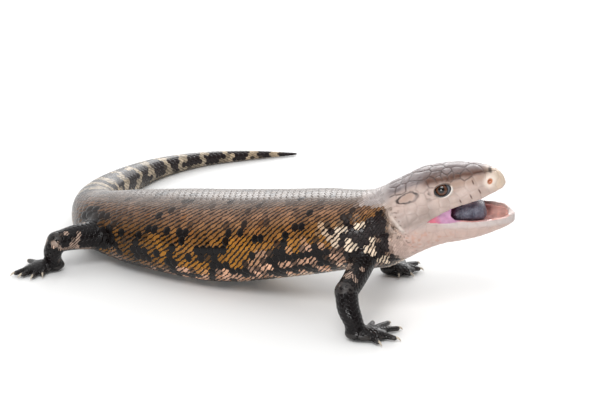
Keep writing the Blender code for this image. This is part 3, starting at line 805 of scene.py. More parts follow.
def trunk_marks(s, share):
    """The light streaks and the dark ground of the scales, at places along and round the trunk."""
    a = 1 - abs(2 * share - 1)  # 0 on the mid-back, 1 on the mid-belly
    q = np.stack([s, a * 92 + 400 * (share > 0.5), 0 * s], 1)
    broad, patch, speck = noise3(q, 14.0, 3), noise3(q, 7.0, 5), noise3(q, 3.6, 9)

    # Streaks: brown on the back, ochre and gold on the flank, peach and cream below.
    light = blend(BACK_BROWN, SIDE_BROWN, ease(a, 0.12, 0.28))
    light = blend(light, OCHRE, ease(a, 0.26, 0.40))
    light = blend(light, GOLD, ease(a + 0.10 * (broad - 0.5), 0.38, 0.5))
    pale = np.interp(s, [30, 70, 130], [0.50, 0.53, 0.62])
    light = blend(light, PEACH, ease(a - pale + 0.12 * (patch - 0.5), -0.03, 0.05))
    light = blend(light, CREAM, ease(a + 0.1 * (patch - 0.5), 0.74, 0.85))
    chance = cell_hash((s * 5).astype(int), (share * 500).astype(int), seed=93)
    light = blend(light, srgb(152, 97, 47), 0.6 * (chance < 0.07) * ease(a, 0.16, 0.3))
    rear = 1 - 0.62 * ease(s, 110, 180) * ease(a, 0.15, 0.35)
    light = light * ((0.80 + 0.36 * speck) * rear)[:, None]
    dark = blend(srgb(88, 78, 74), srgb(38, 27, 24), ease(a, 0.12, 0.24))
    dark = blend(dark, BLACK, ease(a, 0.24, 0.44))
    dark = blend(dark, srgb(120, 100, 88), ease(a, 0.86, 0.96))

    # Black: slanting bars, blots and single scales on the flank, gaps below it, belly marks.
    slant = s - 70.0 * np.maximum(a - 0.12, 0) + 14.0 * (broad - 0.5)
    phase = abs(slant % BAR_PERIOD - BAR_PERIOD / 2)
    half = 1.3 + 2.2 * ease(a, 0.25, 0.5) + 1.2 * ease(s, 120, 180) + 7.0 * (patch - 0.5)
    reach = BAR_PERIOD / 2 - half
    bar = ease(phase, reach - 0.7, reach + 0.7) * ease(a, 0.68, 0.60)
    blot = ease(spots(q + 3 * broad[:, None], 15.0, 71) - 0.06 * ease(s, 120, 180), 0.23, 0.17)
    blot = np.maximum(blot, chance > 0.965)
    blot *= ease(a, 0.24, 0.34) * ease(a, 0.7, 0.60)
    bar = np.maximum(bar * ease(speck, 0.30, 0.42), blot)
    low = ease(a - pale + 0.05 * (patch - 0.5), -0.02, 0.04) * ease(a, 0.94, 0.84)
    stretched = q * [0.8, 1.0, 1.0]
    gaps = low * ease(spots(stretched, 9.0, 77) + 0.14 * (speck - 0.5), 0.37, 0.44)
    belly = ease(a, 0.84, 0.92) * ease(patch, 0.34, 0.24)
    black = np.clip(bar + gaps + belly, 0, 1)

    # The shoulder patch, with cream flecks.
    edge = -9.0 + 6.5 * ease(a, 0.45, 0.72)
    front = ease(s + 10 * (broad - 0.5), 34, 24)
    front *= ease(s + 4 * (patch - 0.5), edge - 1, edge + 1)
    front *= ease(a + 0.06 * (patch - 0.5), 0.36, 0.39) * ease(a, 0.92, 0.86)
    flower = ease(spots(q, 11.0, 81) + 0.14 * (speck - 0.5), 0.38, 0.30) * ease(s, 0, 5)
    light = blend(light, CREAM, front * flower)
    light = blend(light, CHARCOAL, front * (1 - flower))
    dark = blend(dark, BLACK, front)
    black = black * (1 - front)

    # The nape and throat, in the head's colours, with scattered dark grains; the nape's paler grey
    # top is partly its own grey and partly painted sheen.
    edge = np.where(a < 0.36, edge + 12 * ease(a, 0.36, 0.2), edge)
    nape = ease(s + 3 * (patch - 0.5), edge + 1.5 + 8 * (1 - ease(a, 0.2, 0.36)), edge - 1.5)
    light = blend(light, HEAD_TAN * (0.85 + 0.25 * speck)[:, None], nape)
    light = blend(light, THROAT, nape * ease(a, 0.5, 0.75))
    # Painted sheen, in part: the nape's top is made a paler grey.
    light = blend(light, srgb(162, 152, 149), nape * ease(a, 0.38, 0.24))
    dark = blend(dark, light * 0.7, nape)
    grain = cell_hash((s * 3).astype(int), (share * 90).astype(int), seed=91)
    collar = nape * ease(-s, 22, 17) * ease(a, 0.30, 0.40) * (grain > 0.66)
    black = np.clip(black * (1 - nape) + 0.8 * collar * ease(a, 0.72, 0.62), 0, 1)

    # The banded tail, paler towards its end, with a dark tip.
    tail = ease(s, STATION["vent"] - 6, STATION["vent"] + 12)
    wave = 9.0 * (broad - 0.5) + 6.0 * (patch - 0.5)
    cycle = (s - STATION["vent"] + wave) % BAND_PERIOD / BAND_PERIOD
    share_dark = 0.54 + 0.16 * ease(s, STATION["tail_bend"], STATION["tail_middle"])
    band = ease(cycle, 0.04, 0.12) * ease(cycle, share_dark + 0.09, share_dark)
    far = ease(s, STATION["tail_turn"], STATION["tail_end"])
    tail_light = blend(TAIL_PALE * (0.7 + 0.5 * patch)[:, None], srgb(196, 174, 146), far)
    tail_light = blend(tail_light, srgb(200, 184, 168), ease(a, 0.7, 0.9))
    band *= 1 - 0.75 * ease(a + 0.25 * (patch - 0.5), 0.62, 0.8)
    ring = blend(tail_light, TAIL_DARK, band)
    ring = blend(ring, TAIL_DARK, ease(s, SPINE_LENGTH - 16, SPINE_LENGTH - 8))
    light = blend(light * (1 - black)[:, None] + BLACK * black[:, None], ring, tail)
    dark = blend(dark, ring * 0.45, tail)
    return light, dark


def limb_marks(p, leg):
    """Glossy black legs, with pale spots where the photo's legs have them."""
    spot = noise3(p, 4.2, 31)
    low, high, limit = (28, 34, 0.60) if "arm" in leg else (8, 12, 0.66)
    pale = ease(spot, limit, limit + 0.06) * ease(p[:, 2], low, high)
    light = blend(srgb(20, 15, 16), srgb(176, 150, 134), pale)
    return light, np.tile(srgb(8, 6, 6), (len(p), 1))


def limb_value(p):
    """The nearest limb's distance and its place in the list of legs."""
    best, which = np.full(len(p), 60.0), np.zeros(len(p), int)
    for k, leg in enumerate(LIMB_ROWS):
        box = near_limb(p, leg, 14)
        if box.any():
            value = limb_field(p[box], leg)
            closer = value < best[box]
            index = np.flatnonzero(box)[closer]
            best[index], which[index] = value[closer], k
    return best, which


# ---- Sleeves: tables of the skin's surface round a path ---------------------------------------

class Sleeve:
    """The skin round a path, in rows 1 mm apart: points and normals at shares of the way round."""

    def __init__(self, start, rows, angles):
        self.start = start
        self.rows = rows
        self.angles = angles
        side, up = -np.sin(angles[:, :-1]), np.cos(angles[:, :-1])
        self.ways = side[..., None] * rows[:, None, 9:12] + up[..., None] * rows[:, None, 12:15]

    def cast(self, tree, low, high):
        """Finds the skin outward from the path, kept between the lowest and highest reach."""
        count, around = self.angles.shape[0], self.angles.shape[1] - 1
        reach = np.empty((count, around))
        for i in range(count):
            start = self.rows[i, :3]
            origin = Vector(start)
            for j in range(around):
                hit = tree.ray_cast(origin, Vector(self.ways[i, j]))[0]
                reach[i, j] = low[i, j] if hit is None else np.linalg.norm(np.array(hit) - start)
        reach = np.clip(reach, low, high)
        even = reach.copy()
        for _ in range(2):
            even = (even + np.roll(even, 1, 1) + np.roll(even, -1, 1)) / 3
            even[1:-1] = (even[:-2] + even[1:-1] + even[2:]) / 3
        reach = np.maximum(even, reach - 0.1)
        self.points = self.rows[:, None, :3] + self.ways * reach[..., None]
        along = np.gradient(self.points, axis=0)
        across = (np.roll(self.points, -1, 1) - np.roll(self.points, 1, 1)) / 2
        normals = unit(np.cross(across, along))
        self.normals = normals * np.sign((normals * self.ways).sum(-1, keepdims=True))

    def look(self, table, s, share):
        """A table's value at any distance along and share round."""
        count, around = table.shape[:2]
        x = np.clip(s - self.start, 0, count - 1.001)
        y = (share % 1.0) * around
        i, j = x.astype(int), y.astype(int) % around
        k = (j + 1) % around
        u, v = (x - i)[..., None], (y - np.floor(y))[..., None]
        return (table[i, j] * (1 - u) * (1 - v) + table[i + 1, j] * u * (1 - v)
                + table[i, k] * (1 - u) * v + table[i + 1, k] * u * v)


# ---- The coat of scales ----------------------------------------------------------------------

def scale_template(across, along):
    """A scale's grid, from -1 to 1 across and 0 to 1 along: its top, then the rim below."""
    u = np.sin(np.linspace(-1, 1, across) * math.pi / 2)
    tip = 0.46 + 0.54 * (1 - abs(u) ** 2.3) ** 0.5
    v = np.linspace(0, 1, along)[:, None] * tip
    top = np.stack([np.broadcast_to(u, v.shape), v], -1).reshape(-1, 2)
    grid = np.arange(len(top)).reshape(along, across)
    ring = np.concatenate([grid[0], grid[1:, -1], grid[-1, -2::-1], grid[-2:0:-1, 0]])
    edge = np.zeros(len(top))
    edge[ring] = 1.0
    below = len(top) + np.arange(len(ring))
    a, b = grid[:-1, :-1].ravel(), grid[:-1, 1:].ravel()
    after, after_below = np.roll(ring, -1), np.roll(below, -1)
    middle = np.full(len(ring), len(top) + len(ring))
    corners = ((a, b + across, b), (a, a + across, b + across), (ring, after, after_below),
               (ring, after_below, below), (below, after_below, middle))
    local = np.vstack([top, top[ring], [[0.0, 0.5]]])
    return local, np.concatenate([np.stack(f, 1) for f in corners]), edge, len(top)


def scale_heights(local, edge, count):
    """Heights of a scale's points over the skin, for a free tip one unit high."""
    u, v = local[:, 0], local[:, 1]
    high = 1.30 * v - 0.30 + 0.22 * (1 - u * u)
    high[:count] -= 0.32 * edge
    high[count:] -= 0.32
    return high


class Coat:
    """Gathers the scales of several sleeves that share a grid, then makes their pieces."""

    def __init__(self, across, along):
        self.local, self.faces, self.edge, self.count = scale_template(across, along)
        self.heights = scale_heights(self.local, self.edge, self.count)
        self.parts = []

    def lay(self, sleeve, s, share, pitch, width, lift, light, dark, patch):
        """Adds scales with these roots, pitches, half widths (shares), lifts and colours."""
        n = len(s)
        u, v = self.local[None, :, 0], self.local[None, :, 1]
        slim = 0.86 + 0.14 * ease(v, 0.0, 0.3)
        ps = s[:, None] + (SCALE_START + SCALE_SPAN * v) * pitch[:, None]
        pshare = share[:, None] + u * slim * width[:, None]
        high = self.heights[None] * lift[:, None]
        high[:, self.count:] -= 0.65 * lift[:, None]
        base = sleeve.look(sleeve.points, ps, pshare)
        out = unit(sleeve.look(sleeve.normals, ps, pshare))
        points = base + out * high[..., None]
        points[..., 2] = np.maximum(points[..., 2], FLOOR_GAP)
        dorsal = np.where(share % 1.0 < 0.5, -1.0, 1.0)
        chance = cell_hash(np.arange(n), (s * 7).astype(int), (share * 997).astype(int), seed=4)
        per = len(self.local)
        data = {
            "Tint": np.repeat(light * (0.76 + 0.5 * chance)[:, None], per, 0),
            "Border": np.repeat(dark, per, 0),
            "Ahead": np.tile((0.95 - SCALE_SPAN * v[0]) * SCALE_LONG, n),
            "Upward": (u * dorsal[:, None] * SCALE_WIDE).ravel(),
            "Chance": np.repeat(chance, per),
        }
        uv = patch[:, None] + PATCH * np.stack(np.broadcast_arrays(u + 0 * pshare, 2 * v - 1), -1)
        self.parts.append((points.reshape(-1, 3), data, uv.reshape(-1, 2)))

    def make(self, name, slot, material):
        """Joins the scales as pieces of fewer than 200,000 triangles, with their bake map."""
        points, uv = (np.concatenate([part[k] for part in self.parts]) for k in (0, 2))
        data = {key: np.concatenate([d[key] for _, d, _ in self.parts]) for key in self.parts[0][1]}
        per = len(self.local)
        total = len(points) // per
        pieces = math.ceil(total / (PIECE_LIMIT // len(self.faces)))
        for k in range(pieces):
            first, last = k * total // pieces, (k + 1) * total // pieces
            faces = self.faces + (np.arange(last - first) * per)[:, None, None]
            faces = faces.reshape(-1, 3)
            cut = slice(first * per, last * per)
            title = name if pieces == 1 else "%s_%d" % (name, k + 1)
            looks = {key: values[cut] for key, values in data.items()}
            obj = mesh_object(title, points[cut], faces, slot, material, **looks)
            layer = obj.data.uv_layers.new(name="OFBake")
            layer.data.foreach_set("uv", uv[cut][faces.ravel()].astype(np.float32).ravel())


def trunk_sleeve(tree):
    """The sleeve of the trunk, kept near the trunk's own surface where a leg leaves it."""
    sleeve = Sleeve(TABLE_START, TABLE_ROWS, TABLE_ANGLES)
    theta = TABLE_ANGLES[:, :-1]
    plain = trunk_radius(np.sin(theta), np.cos(theta), TABLE_ROWS[:, None])
    head = (TABLE_S < 10)[:, None]
    sleeve.cast(tree, plain - np.where(head, 9.0, 2.5), plain + np.where(head, 9.0, 3.0))
    return sleeve


def ring_plan():
    """Half-rows of scales from the nape to the tail's tip: distance, pitch, number round, phase."""
    plan = []
    s, k = -19.0, 0
    while s < SPINE_LENGTH - 1.5:
        row = spine_rows(np.array([s]))[0]
        girth = 2 * math.pi * math.sqrt((row[3] ** 2 + ((row[4] + row[5]) / 2) ** 2) / 2)
        pitch = np.interp(s, [-20, -2, 12, 45, 190, 290, 400, 450, SPINE_LENGTH],
                          [2.2, 2.6, 3.6, 4.3, 4.3, 4.2, 3.6, 3.0, 2.2])
        wide = 2 * np.interp(s, [200, 300, 420, 460, SPINE_LENGTH], [4.7, 4.3, 3.5, 2.8, 1.6])
        number = ROUND_TRUNK if s < STATION["loin"] else max(4, int(round(girth / wide)))
        number = ROUND_NAPE if s < -6.0 else ROUND_COLLAR if s < 2.0 else number
        plan.append((s, pitch, number, k % 2))
        s += pitch / 2
        k += 1
    return plan


def trunk_scales(coat, sleeve):
    """The rows of scales over the trunk, the nape and the tail."""
    rows = []
    for place, step, many, odd in ring_plan():
        at = ((np.arange(many) + 0.25 + 0.5 * odd) / many) % 1.0
        rows.append(np.stack(np.broadcast_arrays(place, at, step, many), 1))
    s, share, pitch, number = np.concatenate(rows).T
    middle = sleeve.look(sleeve.points, s, share)
    limb, _ = limb_value(middle)
    up = in_head(middle)
    # The coat begins behind the crown's shields and the jaw.
    start = -14.5 - 3.5 * ease(abs(up[:, 2]), 8, 20) + 3.0 * ease(-up[:, 2], 2, 14)
    keep = (trunk_field(middle) < limb + 0.9) & (up[:, 0] < start)
    s, share, pitch, number, middle = (x[keep] for x in (s, share, pitch, number, middle))
    light, dark = trunk_marks(s, share)
    top = ease(1 - abs(2 * share - 1), 0.3, 0.1)
    lift = TRUNK_LIFT * np.clip(pitch / SCALE_LONG, 0.4, 1.0)
    lift *= np.where(s < 0, 0.45, 1.0) * (1 - 0.5 * top)
    # In the bake map the trunk has the lower four fifths, and the legs and digits have the rest.
    along = (s - TABLE_START) / (SPINE_LENGTH - TABLE_START + 2)
    patch = np.stack([0.01 + 0.98 * along, 0.01 + 0.78 * share], 1)
    coat.lay(sleeve, s, share, pitch, 0.34 / number, lift, light, dark, patch)


def carried_rows(points, radius):
    """A path's rows, turned evenly through its bends, with left and up carried without twist."""
    forward = unit(np.gradient(points, axis=0))
    for _ in range(9):
        forward[1:-1] = (forward[:-2] + forward[1:-1] + forward[2:]) / 3
    forward = unit(forward)
    left = unit(np.cross([0.0, 0.0, 1.0], forward[0]))
    rows = []
    for point, way, size in zip(points, forward, radius):
        left = unit(left - way * (left @ way))
        rows.append([*point, size, size, size, *way, *left, *np.cross(way, left)])
    return np.array(rows)


def path_scales(coat, tree, path, number, pitch, keep, lift, marks, corner):
    """Scales round a limb or digit: its path gives x, y, z, half width and half height."""
    kept, nearest = [0], 0.5
    for k in range(1, len(path)):
        if np.linalg.norm(path[k, :3] - path[kept[-1], :3]) > nearest:
            kept.append(k)
    path = path[kept]
    along = lengths_along(path[:, :3])
    at = np.arange(0.0, along[-1], 1.0)
    fine = smooth(along, path, at)
    rows = carried_rows(fine[:, :3], fine[:, 3:5].mean(1))
    around = 48
    sleeve = Sleeve(0.0, rows, np.tile(np.linspace(0, 2 * math.pi, around + 1), (len(rows), 1)))
    low = np.repeat(fine[:, 3:5].min(1)[:, None] * 0.75, around, 1)
    high = np.repeat(fine[:, 3:5].max(1)[:, None] * 1.35 + 0.6, around, 1)
    sleeve.cast(tree, low, high)
    rings = np.arange(0.5, at[-1] - 0.3, pitch / 2)
    s = np.repeat(rings, number)
    odd = np.repeat(np.arange(len(rings)) % 2, number)
    share = ((np.tile(np.arange(number), len(rings)) + 0.25 + 0.5 * odd) / number) % 1.0
    middle = sleeve.look(sleeve.points, s, share)
    pick = keep(middle)
    s, share, middle = s[pick], share[pick], middle[pick]
    if not len(s):
        return
    light, dark = marks(middle)
    patch = np.stack([corner[0] + 0.08 * s / at[-1], corner[1] + 0.035 * share], 1)
    size, width, lift = (np.full(len(s), x) for x in (pitch, 0.35 / number, lift))
    coat.lay(sleeve, s, share, size, width, lift, light, dark, patch)


def leg_scales(coat, small, tree):
    """Scales on the four legs, smaller ones on the feet and rows of scutes on the digits."""
    for k, leg in enumerate(LIMB_ROWS):
        limb, foot, digits = LIMB_ROWS[leg]
        path = np.vstack([limb, foot[2:]])

        def on_limb(p):
            return limb_field(p, leg) < trunk_field(p) + 0.7

        def marks(p):
            return limb_marks(p, leg)

        path_scales(coat, tree, path, LEG_ROUND, LEG_PITCH, on_limb, LEG_LIFT, marks,
                    (0.01 + 0.12 * k, 0.82))
        for j, digit in enumerate(digits):
            path_scales(small, tree, digit, DIGIT_ROUND, DIGIT_PITCH, lambda p: p[:, 2] > 0.4,
                        DIGIT_LIFT, marks, (0.01 + 0.12 * k, 0.865 + 0.022 * j))


def scale_material():
    """Glossy dark scales, crossed by light slanting streaks that run on from one to the next."""
    s = Shader(bpy.data.materials.new("Scales"))
    light, dark = s.attribute("Tint"), s.attribute("Border")
    ahead, upward = s.attribute("Ahead", "Fac"), s.attribute("Upward", "Fac")
    chance = s.attribute("Chance", "Fac")
    offset = s.math("ADD", s.math("MULTIPLY", ahead, -0.588), s.math("MULTIPLY", upward, 0.809))
    offset = s.math("PINGPONG", s.math("ADD", offset, s.sway(420.0, 3.0, 2.4)), STREAK_HALF)
    offset = s.math("SUBTRACT", offset, s.math("MULTIPLY", chance, 0.18))
    streak = s.span(offset, 0.52, 0.82, 1.0, 0.0)
    colour = s.mix(streak, dark, light)
    fleck = s.noise(1600.0, 2.0)
    colour = s.mix(s.span(fleck, 0.35, 0.65, 0.0, 0.22), colour, dark)
    wave = {"Vector": s.place(), "Scale": 900.0, "Distortion": 6.0, "Detail": 2.0}
    normal = s.bump(s.node("TexWave", wave).outputs["Fac"], 0.00005, 0.25)
    rough = s.math("ADD", s.span(fleck, 0.3, 0.7, 0.12, 0.21), s.math("MULTIPLY", chance, 0.08))
    return s.set(Base_Color=colour, Roughness=rough, Normal=normal, Specular_IOR_Level=0.21)


# ---- The head's shields ----------------------------------------------------------------------

def section_height(cheek, half, tall):
    """Height of the head's rounded section this far to the side."""
    return tall * max(0.0, 1 - min(1.0, abs(cheek) / half) ** 2.3) ** (1 / 2.3)


def head_seeds():
    """Middles of the head's shields on one side: place in its frame, name, darkness of its seam."""
    seeds = []

    def size(t, stations):
        half, tall = jaw_size(stations, np.array([float(t)]))
        return float(half[0]), float(tall[0])

    def upper(shield, dark, *place):
        seeds.append((place, shield, dark))

    def lower(shield, dark, *place):
        seeds.append((tuple(np.array(place) @ LOW_FRAME @ UP_FRAME.T), shield, dark))

    def crown(shield, dark, t, cheek):
        upper(shield, dark, t, cheek, section_height(cheek, *size(t, UPPER)))

    def flank(shield, dark, t, up):
        half, tall = size(t, UPPER)
        upper(shield, dark, t, section_height(up, tall, half), up)

    def jaw(shield, dark, t, down):
        half, deep = size(t, LOWER)
        lower(shield, dark, t, section_height(down, deep, half), -down)

    # Shields whose name holds %d have one middle each; the others have all those listed.
    plan = [
        (upper, "rostral", 0.12, [(48.0, 0.0, 4.0)]),
        (crown, "frontonasal", 0.4, [(40, 0)]),
        (crown, "prefrontal", 0.5, [(34.5, 4.6)]),
        (crown, "frontal", 0.7, [(28, 0), (22, 0)]),
        (crown, "frontoparietal", 0.8, [(14.5, 3.0)]),
        (crown, "interparietal", 0.8, [(8, 0)]),
        (crown, "parietal", 0.8, [(7, 7.5), (1.5, 6.5)]),
        (crown, "nuchal%d", 0.8, [(-4.5, 4.5), (-10, 4.2), (-7.5, 11.0), (-13.5, 9.5)]),
        (crown, "supraocular%d", 0.8, [(25.5, 8.6), (20, 9.8), (14, 10.2)]),
        (flank, "brow%d", 0.6, [(28.5, 15.3), (25, 16.8), (21.5, 18), (18, 18.6), (14.5, 18.8),
                                (11, 18.6)]),
        (flank, "nasal", 0.08, [(42.0, 7.0)]),
        (flank, "before_eye%d", 0.10, [(36.0, 10.3), (30.5, 10.6), (25.2, 13.0), (24.6, 8.6)]),
        (flank, "below_eye%d", 0.10, [(19.8, 6.6), (14.3, 6.2), (9.0, 7.6)]),
        (flank, "postocular", 0.3, [(8.6, 12.8)]),
        (flank, "temporal0", 0.35, [(5.2, 18.2)]),
        (flank, "temporal1", 0.15, [(-9.5, 15.2), (-5.5, 15.2), (-1.5, 15.2)]),
        (flank, "cheek%d", 0.10, [(2.6, 12), (-4, 9.4), (-12, 10.5), (-11, 5), (-5, 4.4),
                                  (1.3, 6.6), (-1, 20.3), (-13, 15.5)]),
        (flank, "upper_lip%d", 0.10, [(t, 2.0) for t in (44.8, 40.5, 36, 31, 25.5, 19.3, 13.2,
                                                         7.2, 1.6, -4.0)]),
        (lower, "mental", 0.07, [(49.0, 0.0, -3.5)]),
        (jaw, "lower_lip%d", 0.07, [(t, 2.3) for t in (46, 42, 37.2, 32, 26.6, 21, 15.2, 9.4,
                                                       3.8, -1.8)]),
        (jaw, "chin%d", 0.07, [(43.5, 8), (39, 7.5), (33, 8.4), (26.5, 8.8), (20, 8.4),
                               (13.5, 8)]),
    ]
    for lay, shield, dark, places in plan:
        for k, place in enumerate(places):
            lay(shield.replace("%d", str(k)), dark, *place)
    for i in range(12):
        t = 35 - 4.2 * i
        half, deep = size(t, LOWER)
        many, top = ((2, 62), (3, 50), (5, 30), (5, 30))[i // 3]
        for j in range(many):
            angle = math.radians(top + (88 - top) * (j + 0.5 * (i % 2)) / many)
            lower("throat%d_%d" % (i, j), 0.05, t, half * math.cos(angle), -deep * math.sin(angle))
    return seeds


def shields(q):
    """For mirrored points of the head: distance to the nearest seam, and its darkness."""
    seeds = head_seeds()
    names = sorted({name for _, name, _ in seeds})
    place = np.array([x for x, _, _ in seeds])
    which = np.array([names.index(name) for _, name, _ in seeds])
    dark = np.array([d for _, _, d in seeds])
    paired = place[:, 1] > 0.5
    spacing = np.linalg.norm(place[:, None] - place[None], axis=2)
    seam, depth = np.empty(len(q)), np.empty(len(q))
    for i in range(0, len(q), CHUNK):
        part = q[i:i + CHUNK]
        d2 = ((part[:, None] - place[None]) ** 2).sum(2)
        first = d2.argmin(1)
        near = d2[np.arange(len(part)), first]
        between = spacing[first]
        gap = (d2 - near[:, None]) / (2 * between + 1e-6)
        gap[which[None] == which[first][:, None]] = 99.0
        second = gap.argmin(1)
        value = gap[np.arange(len(part)), second]
        darkness = np.maximum(dark[first], dark[second])
        middle = paired[first] & (part[:, 1] < value)
        seam[i:i + CHUNK] = np.where(middle, part[:, 1], value)
        depth[i:i + CHUNK] = np.where(middle, dark[first], darkness)
    return seam, depth


def head_look(p):
    """Points in the head's frames and mirrored, their seams, and the share of mouth lining."""
    up, low = in_head(p), in_head(p, LOW_FRAME)
    q = mirror(up)
    cheek = q[:, 1]
    seam, depth = shields(q)
    cut_up, cut_low = upper_cut(up), lower_cut(low)
    closed = jaw_field(up, UPPER, 1, 1.6, cut=cut_up)
    closed = np.minimum(closed, jaw_field(low, LOWER, -1, 1.5, cut=cut_low))
    inside = np.where(up[:, 2] > 6.5, 0.0, ease(-closed, 0.7, 1.5)) * ease(up[:, 0], -2, 1)
    gape = (up[:, 2] < cut_up + 0.2) & (low[:, 2] > -cut_low - 0.2) & (up[:, 0] > -1)
    half, _ = jaw_size(UPPER, up[:, 0])
    inside = np.maximum(inside, np.where(gape & (cheek < half - 1.0), 1.0, 0.0))
    return up, low, q, seam, depth, inside


def head_tint(p):
    """The head's colour, its seams' distance and darkness, share of mouth lining, and relief."""
    up, low, q, seam, depth, inside = head_look(p)
    t, cheek, z = q.T
    ratio = z / jaw_size(UPPER, t)[1]
    n1, n2 = noise3(p, 5.0, 41), noise3(p, 1.6, 43)
    tint = srgb(182, 162, 153) * (0.84 + 0.2 * n1 + 0.12 * n2)[:, None]
    # Painted shade low on the cheek; grey-brown top with dark streaks.
    # Painted shade: the cheek behind and below the eye is darkened towards the mouth's corner.
    shade = ease(-t, -12, -4) * ease(-z, -12, -4) * ease(-z, 10, 4)
    tint = tint * (1 - 0.28 * shade * (0.6 + 0.8 * n2))[:, None]
    top = ratio - 0.06 * ease(t, 20, 44) + 0.05 * (n1 - 0.5)
    top = ease(top, 0.74 + 0.05 * ease(t, 4, 14), 0.88)
    crown = srgb(130, 119, 119) * (0.8 + 0.35 * n1)[:, None]
    tint = blend(tint, crown, top * ease(t, 44, 36))
    streaky = ease(noise3(up * [0.32, 1.0, 1.0], 1.5, 47), 0.48, 0.70) * top
    tint = blend(tint, srgb(70, 56, 56), 0.65 * streaky * ease(t, -24, -8) * ease(t, 28, 20))
    # The brow's dark band, and tan below it.
    crease = np.interp(t, [5, 10, 17, 20, 31, 38, 43], [0.80, 0.84, 0.82, 0.81, 0.83, 0.87, 0.92])
    canthus = hill(ratio + 0.03 * (n2 - 0.5), crease, 0.095)
    canthus *= ease(t, 3, 9) * ease(t, 45, 41)
    tan = hill(ratio, crease - 0.17, 0.13) * ease(t, 14, 22) * ease(t, 42, 36)
    tint = blend(tint, srgb(148, 112, 86), 0.45 * tan * (0.7 + 0.6 * n1))
    tint = blend(tint, srgb(82, 46, 28), canthus)
    # The pale snout and nostril, and a dark spot above.
    tint = blend(tint, srgb(212, 190, 168), 0.85 * ease(t, 38, 45))
    hole = np.hypot(t - NOSTRIL_FORWARD, z - NOSTRIL_UP)
    tint = blend(tint, srgb(238, 224, 212), 0.9 * hill(hole**2, 0, 3.4**2))
    tint = blend(tint, srgb(184, 112, 72), ease(hole, 1.9, 1.0))
    spot = np.hypot((t - 42.0) / 1.1, (ratio - 0.93) * 9)
    tint = blend(tint, srgb(44, 24, 18), 0.9 * ease(spot, 1.2, 0.4))
    # A ragged dark ring behind the eye, and short strokes along the upper lip.
    ring = np.hypot((t + 5.0) / 6.2, (z - 15.1) / (2.35 + 0.08 * t)) + 0.35 * (n2 - 0.5)
    tint = blend(tint, srgb(150, 118, 98), 0.5 * ease(ring, 1.1, 0.5))
    ring = ease(abs(ring - 1), 0.27, 0.04)
    tint = blend(tint, srgb(46, 30, 28), ring * (0.25 + 1.1 * noise3(p, 2.6, 45)))
    for t0, z0, size in ((33.9, 4.5, 1.7), (28.7, 3.9, 1.7), (22.6, 3.8, 1.3), (32.0, 10.4, 1.5)):
        stroke = np.hypot((t - t0 + 0.10 * (z - z0)) / 0.42, (z - z0) / size)
        tint = blend(tint, srgb(70, 34, 26), 0.9 * ease(stroke, 1.2, 0.5))
    # The lower jaw: its side, flecked chin, a pale lip band that is partly the lip's own pale
    # colour and partly painted highlight, and specks behind it.
    down = -low[:, 2]
    chin = ease(down, 2.0, 9.0) * ease(-z, -1, 3)
    tint = blend(tint, srgb(188, 169, 162), ease(-z, -2.0, 1.5))
    tint = blend(tint, srgb(190, 162, 151), chin * 0.8)
    fleck = ease(noise3(p, 1.5, 51), 0.56, 0.80) * chin * ease(-t, -26, 4)
    tint = blend(tint, srgb(184, 118, 86), 0.34 * fleck)
    # The lip's pale band: partly its own pale colour, partly painted highlight.
    lip = ease(down, 0.0, 1.0) * ease(down, 6.0, 3.5) * (z < 1) * ease(t, 4, 12)
    tint = blend(tint, srgb(206, 199, 199), 0.4 * lip)
    specks = ease(noise3(p, 1.1, 61), 0.60, 0.72) * ease(-t, 9, 14) * ease(-z, -17, -9)
    tint = blend(tint, srgb(92, 70, 60), 0.8 * specks)
    # The lids: painted shade along a crease, a pale lower and a dark upper rim, painted shade in
    # the gap round the eyeball, and a dark mark behind.
    near_eye = apart(q, EYE)
    lid = ease(near_eye, 7.6, 6.9) * (cheek > EYE[1])
    tint = blend(tint, srgb(196, 180, 168), 0.6 * lid * ease(z - EYE[2], 5.0, 3.4))
    opening, y = lid_gap(q), z - EYE[2] - LID_SHIFT[1]
    # Painted shade: a darker line along the crease round the lid.
    crease = lid * ease(abs(opening - 1.42), 0.10, 0.03)
    tint = blend(tint, srgb(120, 92, 78), 0.7 * crease)
    rim = lid * ease(abs(opening - 1.10), 0.16, 0.06)
    tint = blend(tint, srgb(232, 226, 220), 0.9 * rim * ease(-y, -1.5, 0.5))
    tint = blend(tint, srgb(66, 46, 38), 0.9 * rim * ease(y, 0.6, 2.0))
    # Painted shade: the skin inside the lids' gap, round the eyeball, is coloured near black.
    tint = blend(tint, srgb(40, 26, 22), lid * ease(opening, 1.02, 0.94))
    post = hill(t, 7.2, 1.5) * hill(z, 13.0, 2.6) * ease(n2, 0.45, 0.6)
    tint = blend(tint, srgb(66, 48, 42), 0.8 * post)
    # The mouth's lining: red at the corner, then lilac, pink and pale.
    lining = blend(srgb(206, 146, 142), srgb(184, 136, 168), ease(t, 20, 15))
    lining = blend(lining, srgb(206, 104, 124), ease(t + 5 * (n1 - 0.5), 9, 3))
    lining = blend(lining, srgb(222, 178, 168), ease(t + 8 * (n1 - 0.5), 28, 38))
    lining = lining * (0.75 + 0.3 * n1 + 0.3 * n2)[:, None]
    tint = blend(tint, lining, inside)
    # Painted highlight along the fold before the ear, and painted shade in the ear's opening.
    fold_highlight = abs(t - EAR_FORWARD - 2.8 + 0.36 * (z - EAR_UP)) / 1.3
    fold_highlight = ease(fold_highlight, 1.0, 0.4) * ease(z, -3, 0) * ease(z, 13, 9)
    tint = blend(tint, srgb(228, 216, 206), 0.5 * fold_highlight)
    # Painted shade: the ear's opening is coloured dark.
    ear = np.hypot((t - EAR_FORWARD + 0.36 * (z - EAR_UP)) / 1.6, (z - EAR_UP - 1) / 4.2)
    tint = blend(tint, srgb(44, 30, 28), ease(ear, 1.0, 0.6) * (cheek < 20.2))
